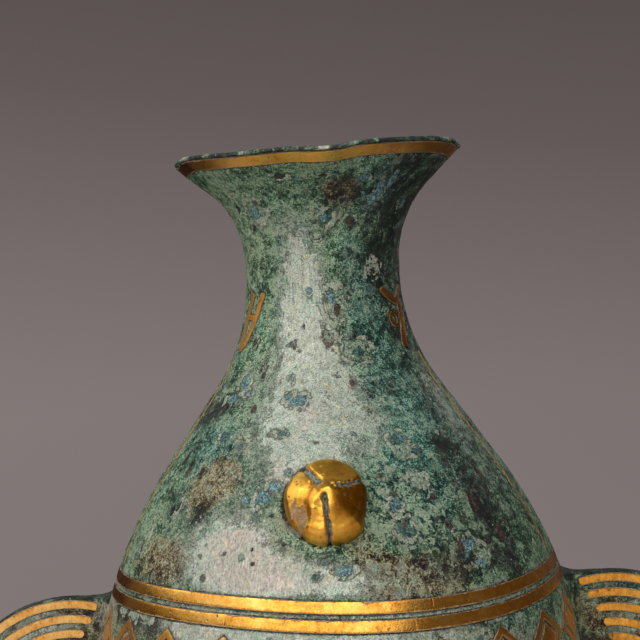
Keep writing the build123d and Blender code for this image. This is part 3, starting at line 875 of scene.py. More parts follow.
@dataclass(frozen=True)
class GoldFinish:
    """Worn gold sheet: hammered, tarnished in patches, with crust along its edges, and painted shade where
    the mesh's weights call for it.
    """

    name: str
    light: Colour = (0.93, 0.545, 0.135)
    deep: Colour = (0.84, 0.4, 0.075)
    tarnish: Colour = (0.4, 0.15, 0.03)
    # colour of painted shade, for gold that would reflect dark surroundings
    shade_paint: Colour = (0.115, 0.04, 0.013)
    # umber of a duller painted shade, on the bands' right side
    umber: Colour = (0.42, 0.155, 0.02)
    crust_share: float = 0.0
    roughness: float = 0.26
    tick_pitch: float = 15.0

    def material(self) -> Material:
        """Lays the material's nodes."""
        g = Graph(self.name)
        drift = g.noise(60.0, 5.0, 0.6)
        mid = g.noise(260.0, 7.0, 0.66, 0.3)
        fine = g.noise(1100.0, 6.0, 0.7)
        brush = g.noise(1.0, 3.0, 0.6, 0.0, g.stretched((2300.0, 2300.0, 170.0)))
        edge = g.weight(EDGE)
        stain = g.blend((drift, 0.7), (mid, 0.8), (fine, 0.45), (brush, 0.35), base=-0.66)
        colour = g.ramp(stain, (0.34, self.light), (0.58, self.deep), (0.76, self.tarnish))
        rim = g.math("POWER", edge, 5.0)
        crust = g.step(g.blend((rim, 0.42), (mid, 0.9), (fine, 0.35), (drift, 0.25),
                               base=-0.44 + self.crust_share), 0.5, 0.66)
        fill = g.weight(GROOVE)
        groove = g.step(g.blend((fill, 1.0), (fine, 0.5), base=-0.25), 0.35, 0.6)
        crust = g.math("MAXIMUM", crust, groove)
        cut = g.node("ShaderNodeTexVoronoi", {"W": g.weight(ALONG), "Scale": self.tick_pitch},
                     voronoi_dimensions="1D", feature="DISTANCE_TO_EDGE")
        tick = g.times(g.step(cut.outputs["Distance"], 0.006, 0.002), g.step(mid, 0.44, 0.58))
        pin_gap, pin_pick, _, _ = g.cells(300.0, g.shaken(900.0, 0.001))
        pin = g.times(g.step(pin_gap, 0.2, 0.08), g.math("GREATER_THAN", pin_pick, 0.78))
        mark = g.math("MAXIMUM", tick, pin)
        brim = g.times(g.step(g.blend((edge, 1.0), (fine, 0.1), base=-0.05), 0.86, 1.0), 0.6)
        colour = g.mix(brim, colour, (0.24, 0.095, 0.025))
        # painted shade: a stored weight darkens and roughens the gold where it would reflect dark
        # surroundings
        shade_paint = g.times(g.weight(PAINTED_SHADE), g.blend((mid, 0.8), (fine, 0.6), base=0.3, clamp=True))
        colour = g.mix(shade_paint, colour, self.shade_paint)
        # painted shade: a second stored weight makes the bands' right side umber and less metallic
        matte = g.weight(SHADE_UMBER)
        umber = g.times(matte, g.blend((mid, 1.3), (drift, 0.8), (fine, 0.7), base=-0.55, clamp=True))
        colour = g.mix(umber, colour, self.umber)
        colour = g.mix(g.times(mark, 0.6), colour, (0.07, 0.028, 0.01))
        grain = g.blend((mid, 0.7), (fine, 0.8), (g.noise(2600.0, 3.0, 0.7), 0.8), base=-0.65)
        soil = g.mix(g.step(fill, 0.55, 0.8), g.ramp(grain, *DRY_SOIL), g.ramp(grain, *GROOVE_SOIL))
        colour = g.mix(crust, colour, soil)
        height = g.blend((drift, 0.16), (mid, 0.28), (fine, 0.16), (brush, 0.16), (crust, 0.8),
                         (mark, -0.5))
        rough = g.blend((mid, 0.2), (fine, 0.14), (brush, 0.08), (crust, 0.5), (shade_paint, 0.22),
                        base=self.roughness - 0.2, clamp=True)
        return g.finish(
            Base_Color=colour,
            Metallic=g.blend((crust, -1.0), (matte, -0.34), base=1.0, clamp=True),
            Roughness=rough,
            Normal=g.bump(height, 0.22 * MM),
        )


@dataclass(frozen=True)
class CoreFinish:
    """Rough dark bronze of the pieces that sit inside the wall or under the gold."""

    name: str
    light: Colour = (0.13, 0.105, 0.062)
    shade: Colour = (0.026, 0.03, 0.022)

    def material(self) -> Material:
        """Lays the material's nodes."""
        g = Graph(self.name)
        mid = g.noise(180.0, 7.0, 0.66)
        fine = g.noise(900.0, 5.0, 0.65)
        tone = g.blend((mid, 0.8), (fine, 0.5), base=-0.15)
        colour = g.ramp(tone, (0.32, self.shade), (0.52, self.light), (0.72, (0.13, 0.19, 0.14)))
        return g.finish(
            Base_Color=colour,
            Metallic=g.step(tone, 0.62, 0.45),
            Roughness=g.blend((fine, 0.3), base=0.45),
            Normal=g.bump(g.blend((mid, 0.7), (fine, 0.4)), 0.4 * MM),
        )


@dataclass(frozen=True)
class Zone:
    """Soft patch of a patina tone on the wall."""

    azimuth: float
    length: float
    width: float
    height: float
    weight: float = 1.0


@dataclass(frozen=True)
class Blister:
    """One mineral spot on the wall, with its half width and half height in millimetres."""

    mineral: Mineral
    azimuth: float
    length: float
    width: float
    height: float
    ring: float = 1.0
    lift: float = 0.3
    weight: float = 1.0


# Rows of azimuth in degrees, length up the wall, half width in degrees, half height, and weight
ZONE_ROWS: dict[Tone, tuple[tuple[float, ...], ...]] = {
    # Most pale rows, from about -30 to 16 degrees, lie where the lamps' highlight falls on the front:
    # partly silvery worn metal, partly painted highlight.
    Tone.PALE: (
        (-15, 287, 17, 25), (-8.5, 265.5, 15, 16), (-2.5, 249, 16, 14, 0.9), (-10, 231, 20, 17, 0.95),
        (16, 227.5, 11, 14, 0.5), (-26.5, 174, 15, 16), (-17.5, 162, 16, 8, 0.9), (1, 163, 12, 8, 0.6),
        (-15.5, 313.5, 14, 10, 0.25), (-7, 209, 14, 12, 0.6), (-29, 140.5, 16, 5, 0.9),
        (-8, 140.5, 20, 5, 0.8), (0, 149.1, 140, 1.2, 0.35), (-41, 250, 11, 13, 0.32),
        (63, 232, 9, 18, 0.35),
    ),
    Tone.TEAL: (
        (32, 282.5, 11, 15, 0.9), (23, 297.5, 10, 22, 0.5), (40, 234.5, 13, 12),
        (-44.5, 214, 11, 14, 0.8), (26, 194.5, 14, 22, 0.7), (39, 331, 12, 12, 0.7),
        (34.5, 259.5, 14, 14, 0.4),
    ),
    Tone.MINT: (
        (-51, 304, 13, 22, 0.7), (-62.5, 173, 8, 12, 0.9), (25, 190.5, 16, 20, 0.55),
        (39.5, 166, 7, 8, 0.9), (20, 261.5, 12, 9, 0.8), (-45, 247, 12, 14, 0.7),
        (-13.5, 181, 4, 18, 0.7), (-68.5, 323, 22, 18, 0.5), (4, 177.5, 14, 10, 0.4),
        (-67, 291, 9, 9, 0.8), (-66, 245, 8, 9, 0.8), (22, 195, 9, 14, 0.6),
        (-14.8, 171, 2.6, 12, 0.7), (0, 149.1, 140, 1.5, 0.9), (-38, 250, 9, 10, 0.9),
        (24, 190, 13, 14, 0.3),
    ),
    # The dark rows from about 38 to 90 degrees darken the side turned away from the lamps: partly dark
    # patina, partly painted shade.
    Tone.DARK: (
        (47, 190, 8, 24, 0.9), (50.5, 168.5, 6, 14), (59.5, 212.5, 13, 40, 0.7), (14, 331, 13, 9, 0.8),
        (-43, 185, 8, 8, 0.9), (-65, 235, 14, 12, 0.8), (28.5, 244, 15, 8, 0.7),
        (66, 303, 24, 50, 0.9), (42.5, 315.5, 12, 12, 0.5), (-49, 141, 15, 5), (29, 143, 14, 4, 0.7),
        (35, 175, 6, 8, 0.6), (-56, 194, 5, 12, 0.6), (21, 287.5, 6, 20, 0.35),
        (45.5, 214.5, 4, 7, 0.8), (48.5, 206, 4, 7, 0.9), (51, 195, 5, 8, 0.9), (-72, 231, 9, 5, 0.9),
        (-58, 236, 8, 4, 0.9), (-47, 240, 6, 4, 0.7), (26, 168, 7, 6, 0.7), (32, 162, 7, 6, 0.7),
        (-45.5, 296, 7, 9, 0.5), (64, 328, 22, 24, 0.9), (46, 338, 12, 8, 0.8), (38, 300, 12, 26, 0.4),
        (88, 320, 18, 40, 0.8),
    ),
    Tone.EARTH: (
        (-41, 200.5, 8, 11, 0.9), (-49, 165, 13, 9, 0.9), (14.5, 162, 9, 8, 0.9),
        (26, 164, 12, 8, 0.9), (-19.5, 143.5, 16, 5, 0.7), (4, 144, 18, 5, 0.6),
        (-84, 140, 12, 16, 0.9), (84, 140, 10, 14, 0.6), (16, 329.5, 9, 9, 0.5),
        (8.5, 175.5, 6, 10, 0.6), (-11.5, 186.5, 5, 8, 0.5), (-36, 205, 8, 8, 0.9),
        (-32, 221, 4, 6, 0.6), (13, 331.5, 9, 6, 0.8), (-22, 140, 22, 6, 0.6),
    ),
    Tone.LILAC: (
        (-25, 174, 16, 16, 1), (-14, 162, 14, 7, 0.8), (-16, 206, 12, 8, 0.7), (-2, 266, 14, 12, 0.6),
        (-8, 236, 10, 9, 0.4), (-12, 292, 9, 9, 0.5), (-28, 140, 16, 6, 0.6),
    ),
}
ZONES = {tone: tuple(Zone(*row) for row in rows) for tone, rows in ZONE_ROWS.items()}

# Rows of mineral, azimuth in degrees, length up the wall, half width, half height, ring, lift and weight
AZURITE, TEAL, CUPRITE, CHALKY, PIT = Mineral
BLISTERS = tuple(Blister(*row) for row in (
    (AZURITE, -12, 240.5, 4.6, 3), (AZURITE, -17, 242, 2, 1.6), (CHALKY, 8, 281, 4.4, 7.2, 1.2),
    (AZURITE, 7, 285, 2.2, 2.6, 0.3), (CUPRITE, 10.5, 279, 1.5, 2.4, 0.2),
    (CHALKY, 20.5, 262, 6.6, 4, 0.9), (TEAL, 21.5, 261, 3.6, 2, 0.3),
    (CHALKY, -40, 324, 4.4, 5, 1.3, 0.15, 0.3), (AZURITE, -41.5, 323, 2.6, 2.8, 0.5),
    (TEAL, 6, 319, 3.6, 3.4, 1.4), (AZURITE, 4, 319.5, 1.6, 2, 0.2),
    (CUPRITE, 21.5, 317, 2.2, 2.6, 0.9), (CHALKY, -1, 311, 2.6, 1.6, 0.6),
    (CHALKY, 41, 296.5, 3.6, 3.8, 1), (CUPRITE, 40, 295.5, 1.6, 1.8, 0.2),
    (AZURITE, 37, 331.5, 2.6, 6, 0.4), (AZURITE, 42.5, 334.5, 2.4, 5, 0.2),
    (AZURITE, 33, 326, 2.2, 3, 0.5), (AZURITE, 24.5, 337, 2.6, 1.4, 0.5),
    (PIT, -16, 341.5, 3.6, 1.4, 0.9), (CHALKY, -19.5, 342.5, 1.8, 1, 0.6),
    (AZURITE, -7.5, 339.5, 1.5, 1.2, 0.6), (PIT, 4.5, 341, 2.2, 1.2, 0.7),
    (AZURITE, 9.5, 340.5, 1.6, 1.2, 0.7), (TEAL, 28, 219.5, 4, 3, 1.3),
    (AZURITE, 29.5, 220, 2.2, 1.6, 0.2), (CHALKY, 29.5, 215, 3.6, 3.2, 0.8, 0.15),
    (TEAL, 33, 213.5, 2.2, 1.6, 0.4), (CHALKY, 30, 200.5, 3.8, 3, 1.2, 0.2),
    (AZURITE, 19.5, 191, 2.6, 3, 1), (CUPRITE, 19.5, 196, 2.2, 1.4, 0.6),
    (TEAL, 21, 182, 3.6, 3.4, 1.1), (CUPRITE, 21, 183.5, 1, 1, 0.2),
    (AZURITE, 38.5, 172.5, 3.6, 2.8, 0.8), (CUPRITE, 35.5, 172, 1.8, 2.4, 0.5),
    (AZURITE, 37, 169.5, 1.6, 1.6, 0.4), (AZURITE, 40.5, 165.5, 3, 2.2, 0.9),
    (CHALKY, 42, 169, 3, 3, 0.9), (AZURITE, -19.5, 196.5, 5, 4.4, 0.8),
    (AZURITE, -24.5, 195.5, 3, 2.6, 0.7), (AZURITE, -16, 201.5, 3.2, 2.2, 0.5),
    (PIT, -50.5, 189, 1.2, 3.2, 1.6), (PIT, -53, 186.5, 1.2, 2.2, 0.9),
    (CUPRITE, -55, 205.5, 1.9, 2.2, 0.6), (PIT, -56, 209.5, 1.1, 2.4, 0.4), (PIT, -62, 211, 2, 5, 0.3),
    (TEAL, -17, 224.5, 2.4, 1.6, 0.7), (CHALKY, -20.5, 225.5, 2, 1.4, 0.4),
    (AZURITE, -1, 169.5, 1.5, 1.9, 0.5), (AZURITE, 4, 167, 3.4, 2.2, 0.9),
    (TEAL, -3, 164, 1.6, 1.4, 0.6), (AZURITE, -46, 249, 3, 4.4, 0.9),
    (AZURITE, -41, 243.5, 2.4, 2.2, 0.7), (AZURITE, -50.5, 240, 3.6, 2.4, 0.8),
    (CHALKY, 62.5, 245.5, 4, 3, 0.6), (CUPRITE, 17.5, 204.5, 1.4, 1.6, 0.6),
    (CUPRITE, 32.5, 192.5, 1.6, 1.6, 0.6), (CUPRITE, 34.5, 181, 1.3, 1.4, 0.7),
    (PIT, 33, 184, 1.1, 1.2, 0.5), (CUPRITE, -21, 265, 4.4, 3, 0, 0, 0.55),
    (CUPRITE, 3, 266, 3, 4.6, 0, 0, 0.5), (PIT, -12.5, 273.5, 1.3, 1.8, 0, 0, 0.5),
    (PIT, -16, 189, 1.3, 1, 0.7), (PIT, -11.5, 177, 1.2, 1.1, 0.7), (PIT, -20, 174, 0.7, 0.8, 0.2),
    (CHALKY, -31, 258, 3, 7, 0.5, 0.2), (CHALKY, -33, 225, 3, 2.6, 0.8),
    (TEAL, -43.5, 223, 3, 2.6, 0.6), (CUPRITE, 46.5, 189, 2.4, 4.6, 0, 0, 0.8),
    (PIT, 49, 181.5, 2.4, 5, 0, 0, 0.7), (CUPRITE, 51.5, 174, 2.6, 5, 0, 0, 0.8),
    (PIT, 52, 166, 2.6, 5, 0, 0, 0.6), (CUPRITE, 52.5, 158, 2.4, 4, 0, 0, 0.6),
    (PIT, -47.5, 206, 1.8, 2.4, 0.5), (PIT, -51.5, 210.5, 1, 2.6, 0.4),
    (CHALKY, -61, 142, 4, 1.6, 0.8, 0.4), (CHALKY, -55.5, 141.5, 4, 2.6, 0.8, 0.4),
    (CHALKY, -50, 141.8, 4, 1.8, 0.8, 0.4), (CHALKY, 30, 142.4, 6, 0.9, 0.4, 0.3),
    (CHALKY, 41, 142.4, 6, 0.9, 0.4, 0.3),
))


@dataclass
class VesselBody:
    """Cast wall of the vessel with its patina."""

    wall: Wall
    columns: int = 760
    outer_rows: int = 420
    inner_rows: int = 110
    lip_rows: int = 4
    lip_bulge: float = 0.22
    lip_chip: float = 0.3 * MM
    spigot_inset: float = 7.65 * MM
    spigot_wall: float = 4.0 * MM
    spigot_height: float = 3.0 * MM
    channel_depth: float = 0.55 * MM
    channel_side: float = 0.75 * MM
    crust: float = 0.2 * MM
    gap_limit: float = 5.0 * MM
    cap_room: float = 2.4 * MM
    spot_seed: int = Seed.SCATTER
    spot_count: int = 330
    gold: tuple[str, ...] = (
        "rim_band", "shoulder_band_upper", "shoulder_band_lower", "belly_band_upper", "belly_band_lower",
        "lozenge_frames", "lozenge_centres", "left_neck_inlay_front", "left_neck_inlay_rear",
        "right_neck_inlay_front", "right_neck_inlay_rear", "left_side_lines", "right_side_lines",
    )
    caps: tuple[str, ...] = ("front_boss_cap", "rear_boss_cap")

    def profile(self) -> tuple[Array, int]:
        """Line of the casting from the axis under the floor, up the outside and down the inside.

        Returns:
            Rows of radius, height and length along the line, and the row of the outer face's foot.
        """
        wall = self.wall
        foot_r, foot_z = wall.line["r"][0], wall.foot_height
        spigot = foot_r - self.spigot_inset
        hollow, low_z = spigot - self.spigot_wall, foot_z - self.spigot_height
        under = [(0.0, foot_z), (0.02, foot_z), (hollow, foot_z), (hollow, low_z), (spigot, low_z),
                 (spigot, foot_z)]
        s = np.linspace(0.0, wall.length, self.outer_rows)
        r, z, _, _ = wall.at(s)
        outer = np.stack((r, z), 1)
        back = np.linspace(wall.length, 0.0, self.inner_rows)
        r, z, nr, nz = wall.at(back)
        deep = wall.thickness - (wall.thickness - wall.lip_edge) * ease(
            wall.length - wall.lip_length, wall.length, back)
        inner = np.stack((r - nr * deep, z - nz * deep), 1)
        edge = np.linspace(0.0, 1.0, self.lip_rows + 2)[1:-1, None]
        bulge = np.sin(math.pi * edge) * self.lip_bulge * wall.lip_edge
        way = np.array([[math.sin(wall.flare_turn), math.cos(wall.flare_turn)]])
        lip = outer[-1] + edge * (inner[0] - outer[-1]) + bulge * way
        floor_z = foot_z + wall.floor_thickness
        inner = inner[inner[:, 1] > floor_z + 1 * MM]
        floor = np.stack((np.linspace(inner[-1, 0] - 1 * MM, 0.0, 16), np.full(16, floor_z)), 1)
        rows = np.concatenate((np.array(under), outer, lip, inner, floor))
        return np.column_stack((rows, lengths(rows))), len(under)

    def tones(self, flat: Array, turn: Array, s: Array) -> dict[str, Array]:
        """Weights of the patina tones at points of the wall.

        Args:
            flat: Points.
            turn: Azimuths in degrees.
            s: Lengths up the wall in millimetres.

        Returns:
            One array per tone.
        """
        front = ease(118.0, 80.0, np.abs(turn)) * ease(135.0, 160.0, s)
        out: dict[str, Array] = {}
        for number, tone in enumerate(Tone):
            patchy = Relief(Seed.BODY_TONES + number).layered(flat, 62 * MM, 3, 0.6)
            total = held(0.18 + 0.95 * patchy) * (1.0 - 0.72 * front)
            for zone in ZONES[tone]:
                away = ((turn - zone.azimuth) / zone.width) ** 2 + ((s - zone.length) / zone.height) ** 2
                total = total + zone.weight * np.exp(-away)
            out[tone.value] = held(total)
        return out

    def scattered(self) -> list[Blister]:
        """Blisters drawn at random over the whole wall, fewer on the front."""
        draw = np.random.default_rng(self.spot_seed)
        kinds = list(Mineral)
        made: list[Blister] = []
        while len(made) < self.spot_count:
            turn, s = draw.uniform(-180.0, 180.0), draw.uniform(4.0, 350.0)
            kind = kinds[int(draw.choice(len(kinds), p=(0.27, 0.22, 0.16, 0.25, 0.1)))]
            wide = 0.8 + 2.2 * draw.beta(1.3, 3.2)
            tall = wide * draw.uniform(0.7, 1.4)
            ring = draw.uniform(0.1, 0.9)
            keep = draw.uniform()
            radius = float(self.wall.at(np.array([s * MM]))[0][0]) / self.wall.widest_r
            if keep < radius * (0.35 if abs(turn) < 75.0 and s > 140.0 else 1.0):
                made.append(Blister(kind, turn, s, wide, tall, ring))
        return made

    def spots(self, flat: Array, turn: Array, s: Array) -> tuple[dict[str, Array], Array]:
        """Weights and heights of all blisters at points of the wall.

        Args:
            flat: Points.
            turn: Azimuths in degrees.
            s: Lengths up the wall in millimetres.

        Returns:
            One array per mineral and ring, and the height they add, in millimetres.
        """
        out = {mineral.value: np.zeros(len(s)) for mineral in Mineral}
        out[RING] = np.zeros(len(s))
        height = np.zeros(len(s))
        wobble = 0.92 * Relief(Seed.BLISTER_OUTLINE).layered(flat, 4.0 * MM, 3, 0.75)
        broken = np.clip(0.8 + 1.8 * Relief(Seed.BLISTER_RING).layered(flat, 3.4 * MM, 2, 0.7), 0.1, 1.4)
        radius = self.wall.at(s * MM)[0] / MM
        for spot in (*self.scattered(), *BLISTERS):
            aside = (turn - spot.azimuth + 180.0) % 360.0 - 180.0
            near = np.nonzero((np.abs(s - spot.length) < 3 * spot.height)
                              & (np.abs(np.radians(aside)) * radius < 3 * spot.width))[0]
            if not len(near):
                continue
            across = np.radians(aside[near]) * radius[near] / spot.width
            far = np.hypot(across, (s[near] - spot.length) / spot.height) + wobble[near]
            core = spot.weight * ease(1.15, 0.45, far)
            ring = spot.ring * broken[near] * np.exp(-(((far - 1.25) / 0.3) ** 2))
            key = spot.mineral.value
            out[key][near] = np.maximum(out[key][near], core)
            for other in Mineral:
                if other is not spot.mineral:
                    out[other.value][near] *= 1.0 - core
            out[RING][near] = np.maximum(out[RING][near] * (1.0 - core), ring)
            sign = -1.2 if spot.mineral is Mineral.PIT else 0.55
            height[near] += spot.lift * (sign * core + 0.75 * ring)
        return out, height

    def gold_gap(self, flat: Array) -> Array:
        """Distance to the nearest gold, with more room on the right of a boss."""
        aside = ease(3 * MM, 12 * MM, -np.sign(flat[:, 1]) * flat[:, 0])
        to_cap = Nearness(self.caps).measure(flat, self.gap_limit) + self.cap_room * aside
        return np.minimum(Nearness(self.gold).measure(flat, self.gap_limit), to_cap)

    def relief(self, flat: Array, s: Array, gap: Array, pale: Array, blisters: Array) -> Array:
        """Height of crust and blisters over the wall, less the channels of the gold.

        Args:
            flat: Points.
            s: Lengths up the wall.
            gap: Distances to the nearest gold.
            pale: Weights of the pale tone, which is smooth.
            blisters: Heights of the blisters in millimetres.

        Returns:
            One height per point.
        """
        calm = ease(0.3 * MM, 2.2 * MM, gap)
        texture = Relief(Seed.BODY_CRUST).layered(flat, 7 * MM, 3, 0.6)
        texture += 0.7 * Relief(Seed.BODY_GRIT).layered(flat, 2.6 * MM, 2, 0.6)
        lift = self.crust * texture * (1.0 - 0.75 * pale) * (0.25 + 0.75 * calm) + blisters * MM * calm
        lift *= ease(self.wall.length, self.wall.length - 9 * MM, s)
        channel = 1.0 - ease(0.0, self.channel_side, gap)
        return lift - self.channel_depth * channel - 0.06 * MM * (1.0 - calm)

    def build(self, finish: PatinaFinish) -> None:
        """Builds the casting and dresses it.

        Args:
            finish: Its patina.
        """
        wall = self.wall
        rows, first = self.profile()
        after = first + self.outer_rows
        inner = after + self.lip_rows
        outside, lip, brim = slice(first, after), slice(after - 1, inner), slice(after - 4, inner)
        turn = ring_turns(self.columns)
        grid = turned(rows, self.columns)
        azimuth, s = np.meshgrid(turn, np.linspace(0.0, wall.length, self.outer_rows))
        flat = grid[outside].reshape(-1, 3)
        places = (flat, np.degrees(azimuth).ravel(), s.ravel() / MM)
        tones = self.tones(*places)
        spots, blisters = self.spots(*places)
        gap = self.gold_gap(flat)
        lift = self.relief(flat, s.ravel(), gap, tones[Tone.PALE.value], blisters)
        grid[outside] = wall.place(azimuth, s, lift.reshape(s.shape))

        past_lip = np.clip(rows[after:, 2] - rows[inner, 2], 0.0, wall.length)
        grid[after:, :, 2] += wall.lip_shift(turn[None, :], (wall.length - past_lip)[:, None])
        chip = self.lip_chip * Relief(Seed.LIP_CHIPS).layered(grid[lip].reshape(-1, 3), 9 * MM, 3)
        grid[lip, :, 2] += chip.reshape(-1, self.columns)

        weights: dict[str, Array] = {}
        for name, values in {**tones, **spots, GOLD_GAP: gap / MM}.items():
            weights[name] = np.full(grid.shape[:2], self.gap_limit / MM if name == GOLD_GAP else 0.0)
            weights[name][outside] = values.reshape(s.shape)
        stain = Relief(Seed.INSIDE).layered(grid[inner:].reshape(-1, 3), 30 * MM, 3)
        stain = stain.reshape(-1, self.columns)
        weights[Tone.DARK.value][inner:] = held(0.5 + stain)
        weights[Tone.EARTH.value][inner:] = held(0.4 - stain)
        worn = Relief(Seed.LIP_WEAR).layered(grid[brim].reshape(-1, 3), 6 * MM, 3)
        worn = worn.reshape(-1, self.columns)
        weights[Tone.PALE.value][brim] = held(0.25 + 1.4 * worn)
        weights[Tone.DARK.value][brim] = held(0.55 - 1.2 * worn)
        store = MeshStore()
        store.add(grid, False, True, False, weights)
        body = store.build("vessel_body_cast")
        self.unwrap(body, rows[:, 2])
        settle(body, "vessel_body", finish.material())

    def unwrap(self, body: Piece, path: Array) -> None:
        """Lays the body out flat in a UV map named OFBake: azimuth across, its line upwards.

        Args:
            body: The body piece.
            path: Length along the line at each row.
        """
        rows = len(path)
        up = path / path[-1]
        row, column = np.meshgrid(np.arange(rows - 1), np.arange(self.columns), indexing="ij")
        corners = ((0, 0), (0, 1), (1, 1), (1, 0))
        across = np.stack([(column + c) / self.columns for _, c in corners], -1)
        upward = np.stack([up[row + r] for r, _ in corners], -1)
        layer = body.data.uv_layers.new(name="OFBake")
        flat = np.stack((across, upward), -1).astype(np.float32)
        layer.data.foreach_set("uv", flat.ravel())


Chart = Callable[[Array, Array, Array], Array]


@dataclass
class GoldStrips:
    """Strips of gold sheet, cut by hand, on any face that a chart describes.

    The section's top is given as shares of the half width and heights over the bronze in millimetres.
    """

    chart: Chart
    scale: Callable[[Array, Array], Array]
    top: tuple[tuple[float, float], ...] = (
        (-1.0, 0.03), (-0.9, 0.1), (-0.62, 0.12), (-0.3, 0.13), (0.0, 0.13),
        (0.3, 0.13), (0.62, 0.12), (0.9, 0.1), (1.0, 0.03),
    )
    depth: float = 0.75 * MM
    rag: float = 0.13 * MM
    dent: float = 0.045 * MM
    seed: int = Seed.GOLD_EDGE

    def __post_init__(self) -> None:
        """Draws the noise of the edges and closes the section under the strip."""
        self.noise = Relief(self.seed)
        self.shares = np.array([share for share, _ in self.top] + [1.0, -1.0])
        self.heights = np.array([height * MM for _, height in self.top] + [-self.depth, -self.depth])

    def strip(self, store: MeshStore, a: Array, b: Array, half: float, closed: bool,
              rounded: bool = False) -> None:
        """Adds a strip along a line of the chart.

        Args:
            store: Where the mesh is gathered.
            a: First chart coordinate of the line.
            b: Second chart coordinate of the line, in metres.
            half: Half width.
            closed: The line closes on itself.
            rounded: The ends are round.
        """
        scale = self.scale(a, b)
        if closed:
            da = (np.roll(a, -1) - np.roll(a, 1) + math.pi) % (2 * math.pi) - math.pi
            db = np.roll(b, -1) - np.roll(b, 1)
        else:
            da, db = np.gradient(a), np.gradient(b)
        tangent = np.stack((da * scale, db), 1)
        tangent /= np.linalg.norm(tangent, axis=1)[:, None]
        middle = self.chart(a, b, np.zeros_like(a))
        run = lengths(middle)
        wide = np.full(len(a), half)
        if rounded and not closed:
            end = np.minimum(run, run[-1] - run)
            wide = np.sqrt(np.clip(half**2 - np.clip(half - end, 0.0, half) ** 2, (0.12 * half) ** 2, None))
        shares, heights = self.shares, self.heights
        rag_low = self.rag * self.noise.layered(middle, 6 * MM, 3, 0.7)
        rag_high = self.rag * self.noise.layered(middle + 0.31, 6 * MM, 3, 0.7)
        rag = np.where(shares[None, :] < 0, rag_low[:, None], rag_high[:, None]) * np.abs(shares)
        out = wide[:, None] * shares + rag * np.minimum(1.0, wide[:, None] / half)
        grid_a = a[:, None] - out * tangent[:, 1:2] / scale[:, None]
        grid_b = b[:, None] + out * tangent[:, 0:1]
        dents = self.dent * self.noise.layered(
            self.chart(grid_a, grid_b, np.zeros_like(out)).reshape(-1, 3), 5 * MM, 2).reshape(out.shape)
        grid = self.chart(grid_a, grid_b, heights + np.where(heights > 0, dents, 0.0))
        weights = {EDGE: np.abs(shares), ALONG: run[:, None] + self.seed}
        store.add(grid, closed, True, not closed, weights, flip=True)

    def diamond(self, store: MeshStore, a: float, b: float, width: float, height: float,
                outer: float, inner: float | None) -> None:
        """Adds a lozenge, or a lozenge frame, in the chart.

        Args:
            store: Where the mesh is gathered.
            a: First chart coordinate of its middle.
            b: Second chart coordinate of its middle.
            width: Width over its points.
            height: Height over its points.
            outer: Distance of its outline from that lozenge's sides.
            inner: Distance of the opening from those sides; no opening where None.
        """
        shrink = height / math.hypot(width, height)
        steps = 14
        around = np.linspace(0.0, 4.0, 4 * steps, endpoint=False)
        corner = np.array([(1.0, 0.0), (0.0, 1.0), (-1.0, 0.0), (0.0, -1.0), (1.0, 0.0)])
        side, part = np.floor(around).astype(int), around % 1.0
        ray = corner[side] + part[:, None] * (corner[side + 1] - corner[side])
        full = width / 2 - outer / shrink
        hollow = 0.02 * full if inner is None else width / 2 - inner / shrink
        edge_band = 0.35 * MM / shrink
        across = [(full, -self.depth), (full, 0.03 * MM), (full - edge_band, 0.1 * MM)]
        low, high = hollow if inner is None else hollow + edge_band, full - edge_band
        across += [(high + q * (low - high), 0.13 * MM) for q in (0.25, 0.5, 0.75, 1.0)]
        if inner is not None:
            across += [(hollow, 0.03 * MM), (hollow, -self.depth)]
        reach = np.array([x for x, _ in across])
        lift = np.array([x for _, x in across])
        scale = float(self.scale(np.array([a]), np.array([b]))[0])
        u = ray[:, :1] * reach
        v = ray[:, 1:] * reach * height / width
        near = self.chart(a + u / scale, b + v, 0.0 * u)
        rag = self.rag * self.noise.layered(near.reshape(-1, 3), 5 * MM, 3, 0.7).reshape(u.shape)
        grow = 1.0 + rag / np.maximum(np.hypot(u, v), 2 * MM)
        grid = self.chart(a + u * grow / scale, b + v * grow, lift + np.where(lift > 0, 0.35 * rag, 0.0))
        middle = 0.5 * (full + hollow) if inner is not None else 0.0
        edge = held(np.abs(reach - middle) / max(abs(full - middle), 1e-9))
        weights = {EDGE: edge, ALONG: around[:, None] * width / 2 + 3.0 * a}
        store.add(grid, True, inner is not None, False, weights, flip=True)


def through(points: Sequence[tuple[float, float]], count: int) -> Array:
    """Smooth line through a few points.

    Args:
        points: Points of the line in millimetres.
        count: Points wanted.

    Returns:
        Rows of two coordinates in metres.
    """
    known = np.array(points, float)
    run = lengths(known)
    at = np.linspace(0.0, run[-1], count)
    fits = [np.polyfit(run, known[:, i], len(known) - 1) for i in (0, 1)]
    return np.stack([np.polyval(fit, at) for fit in fits], 1) * MM


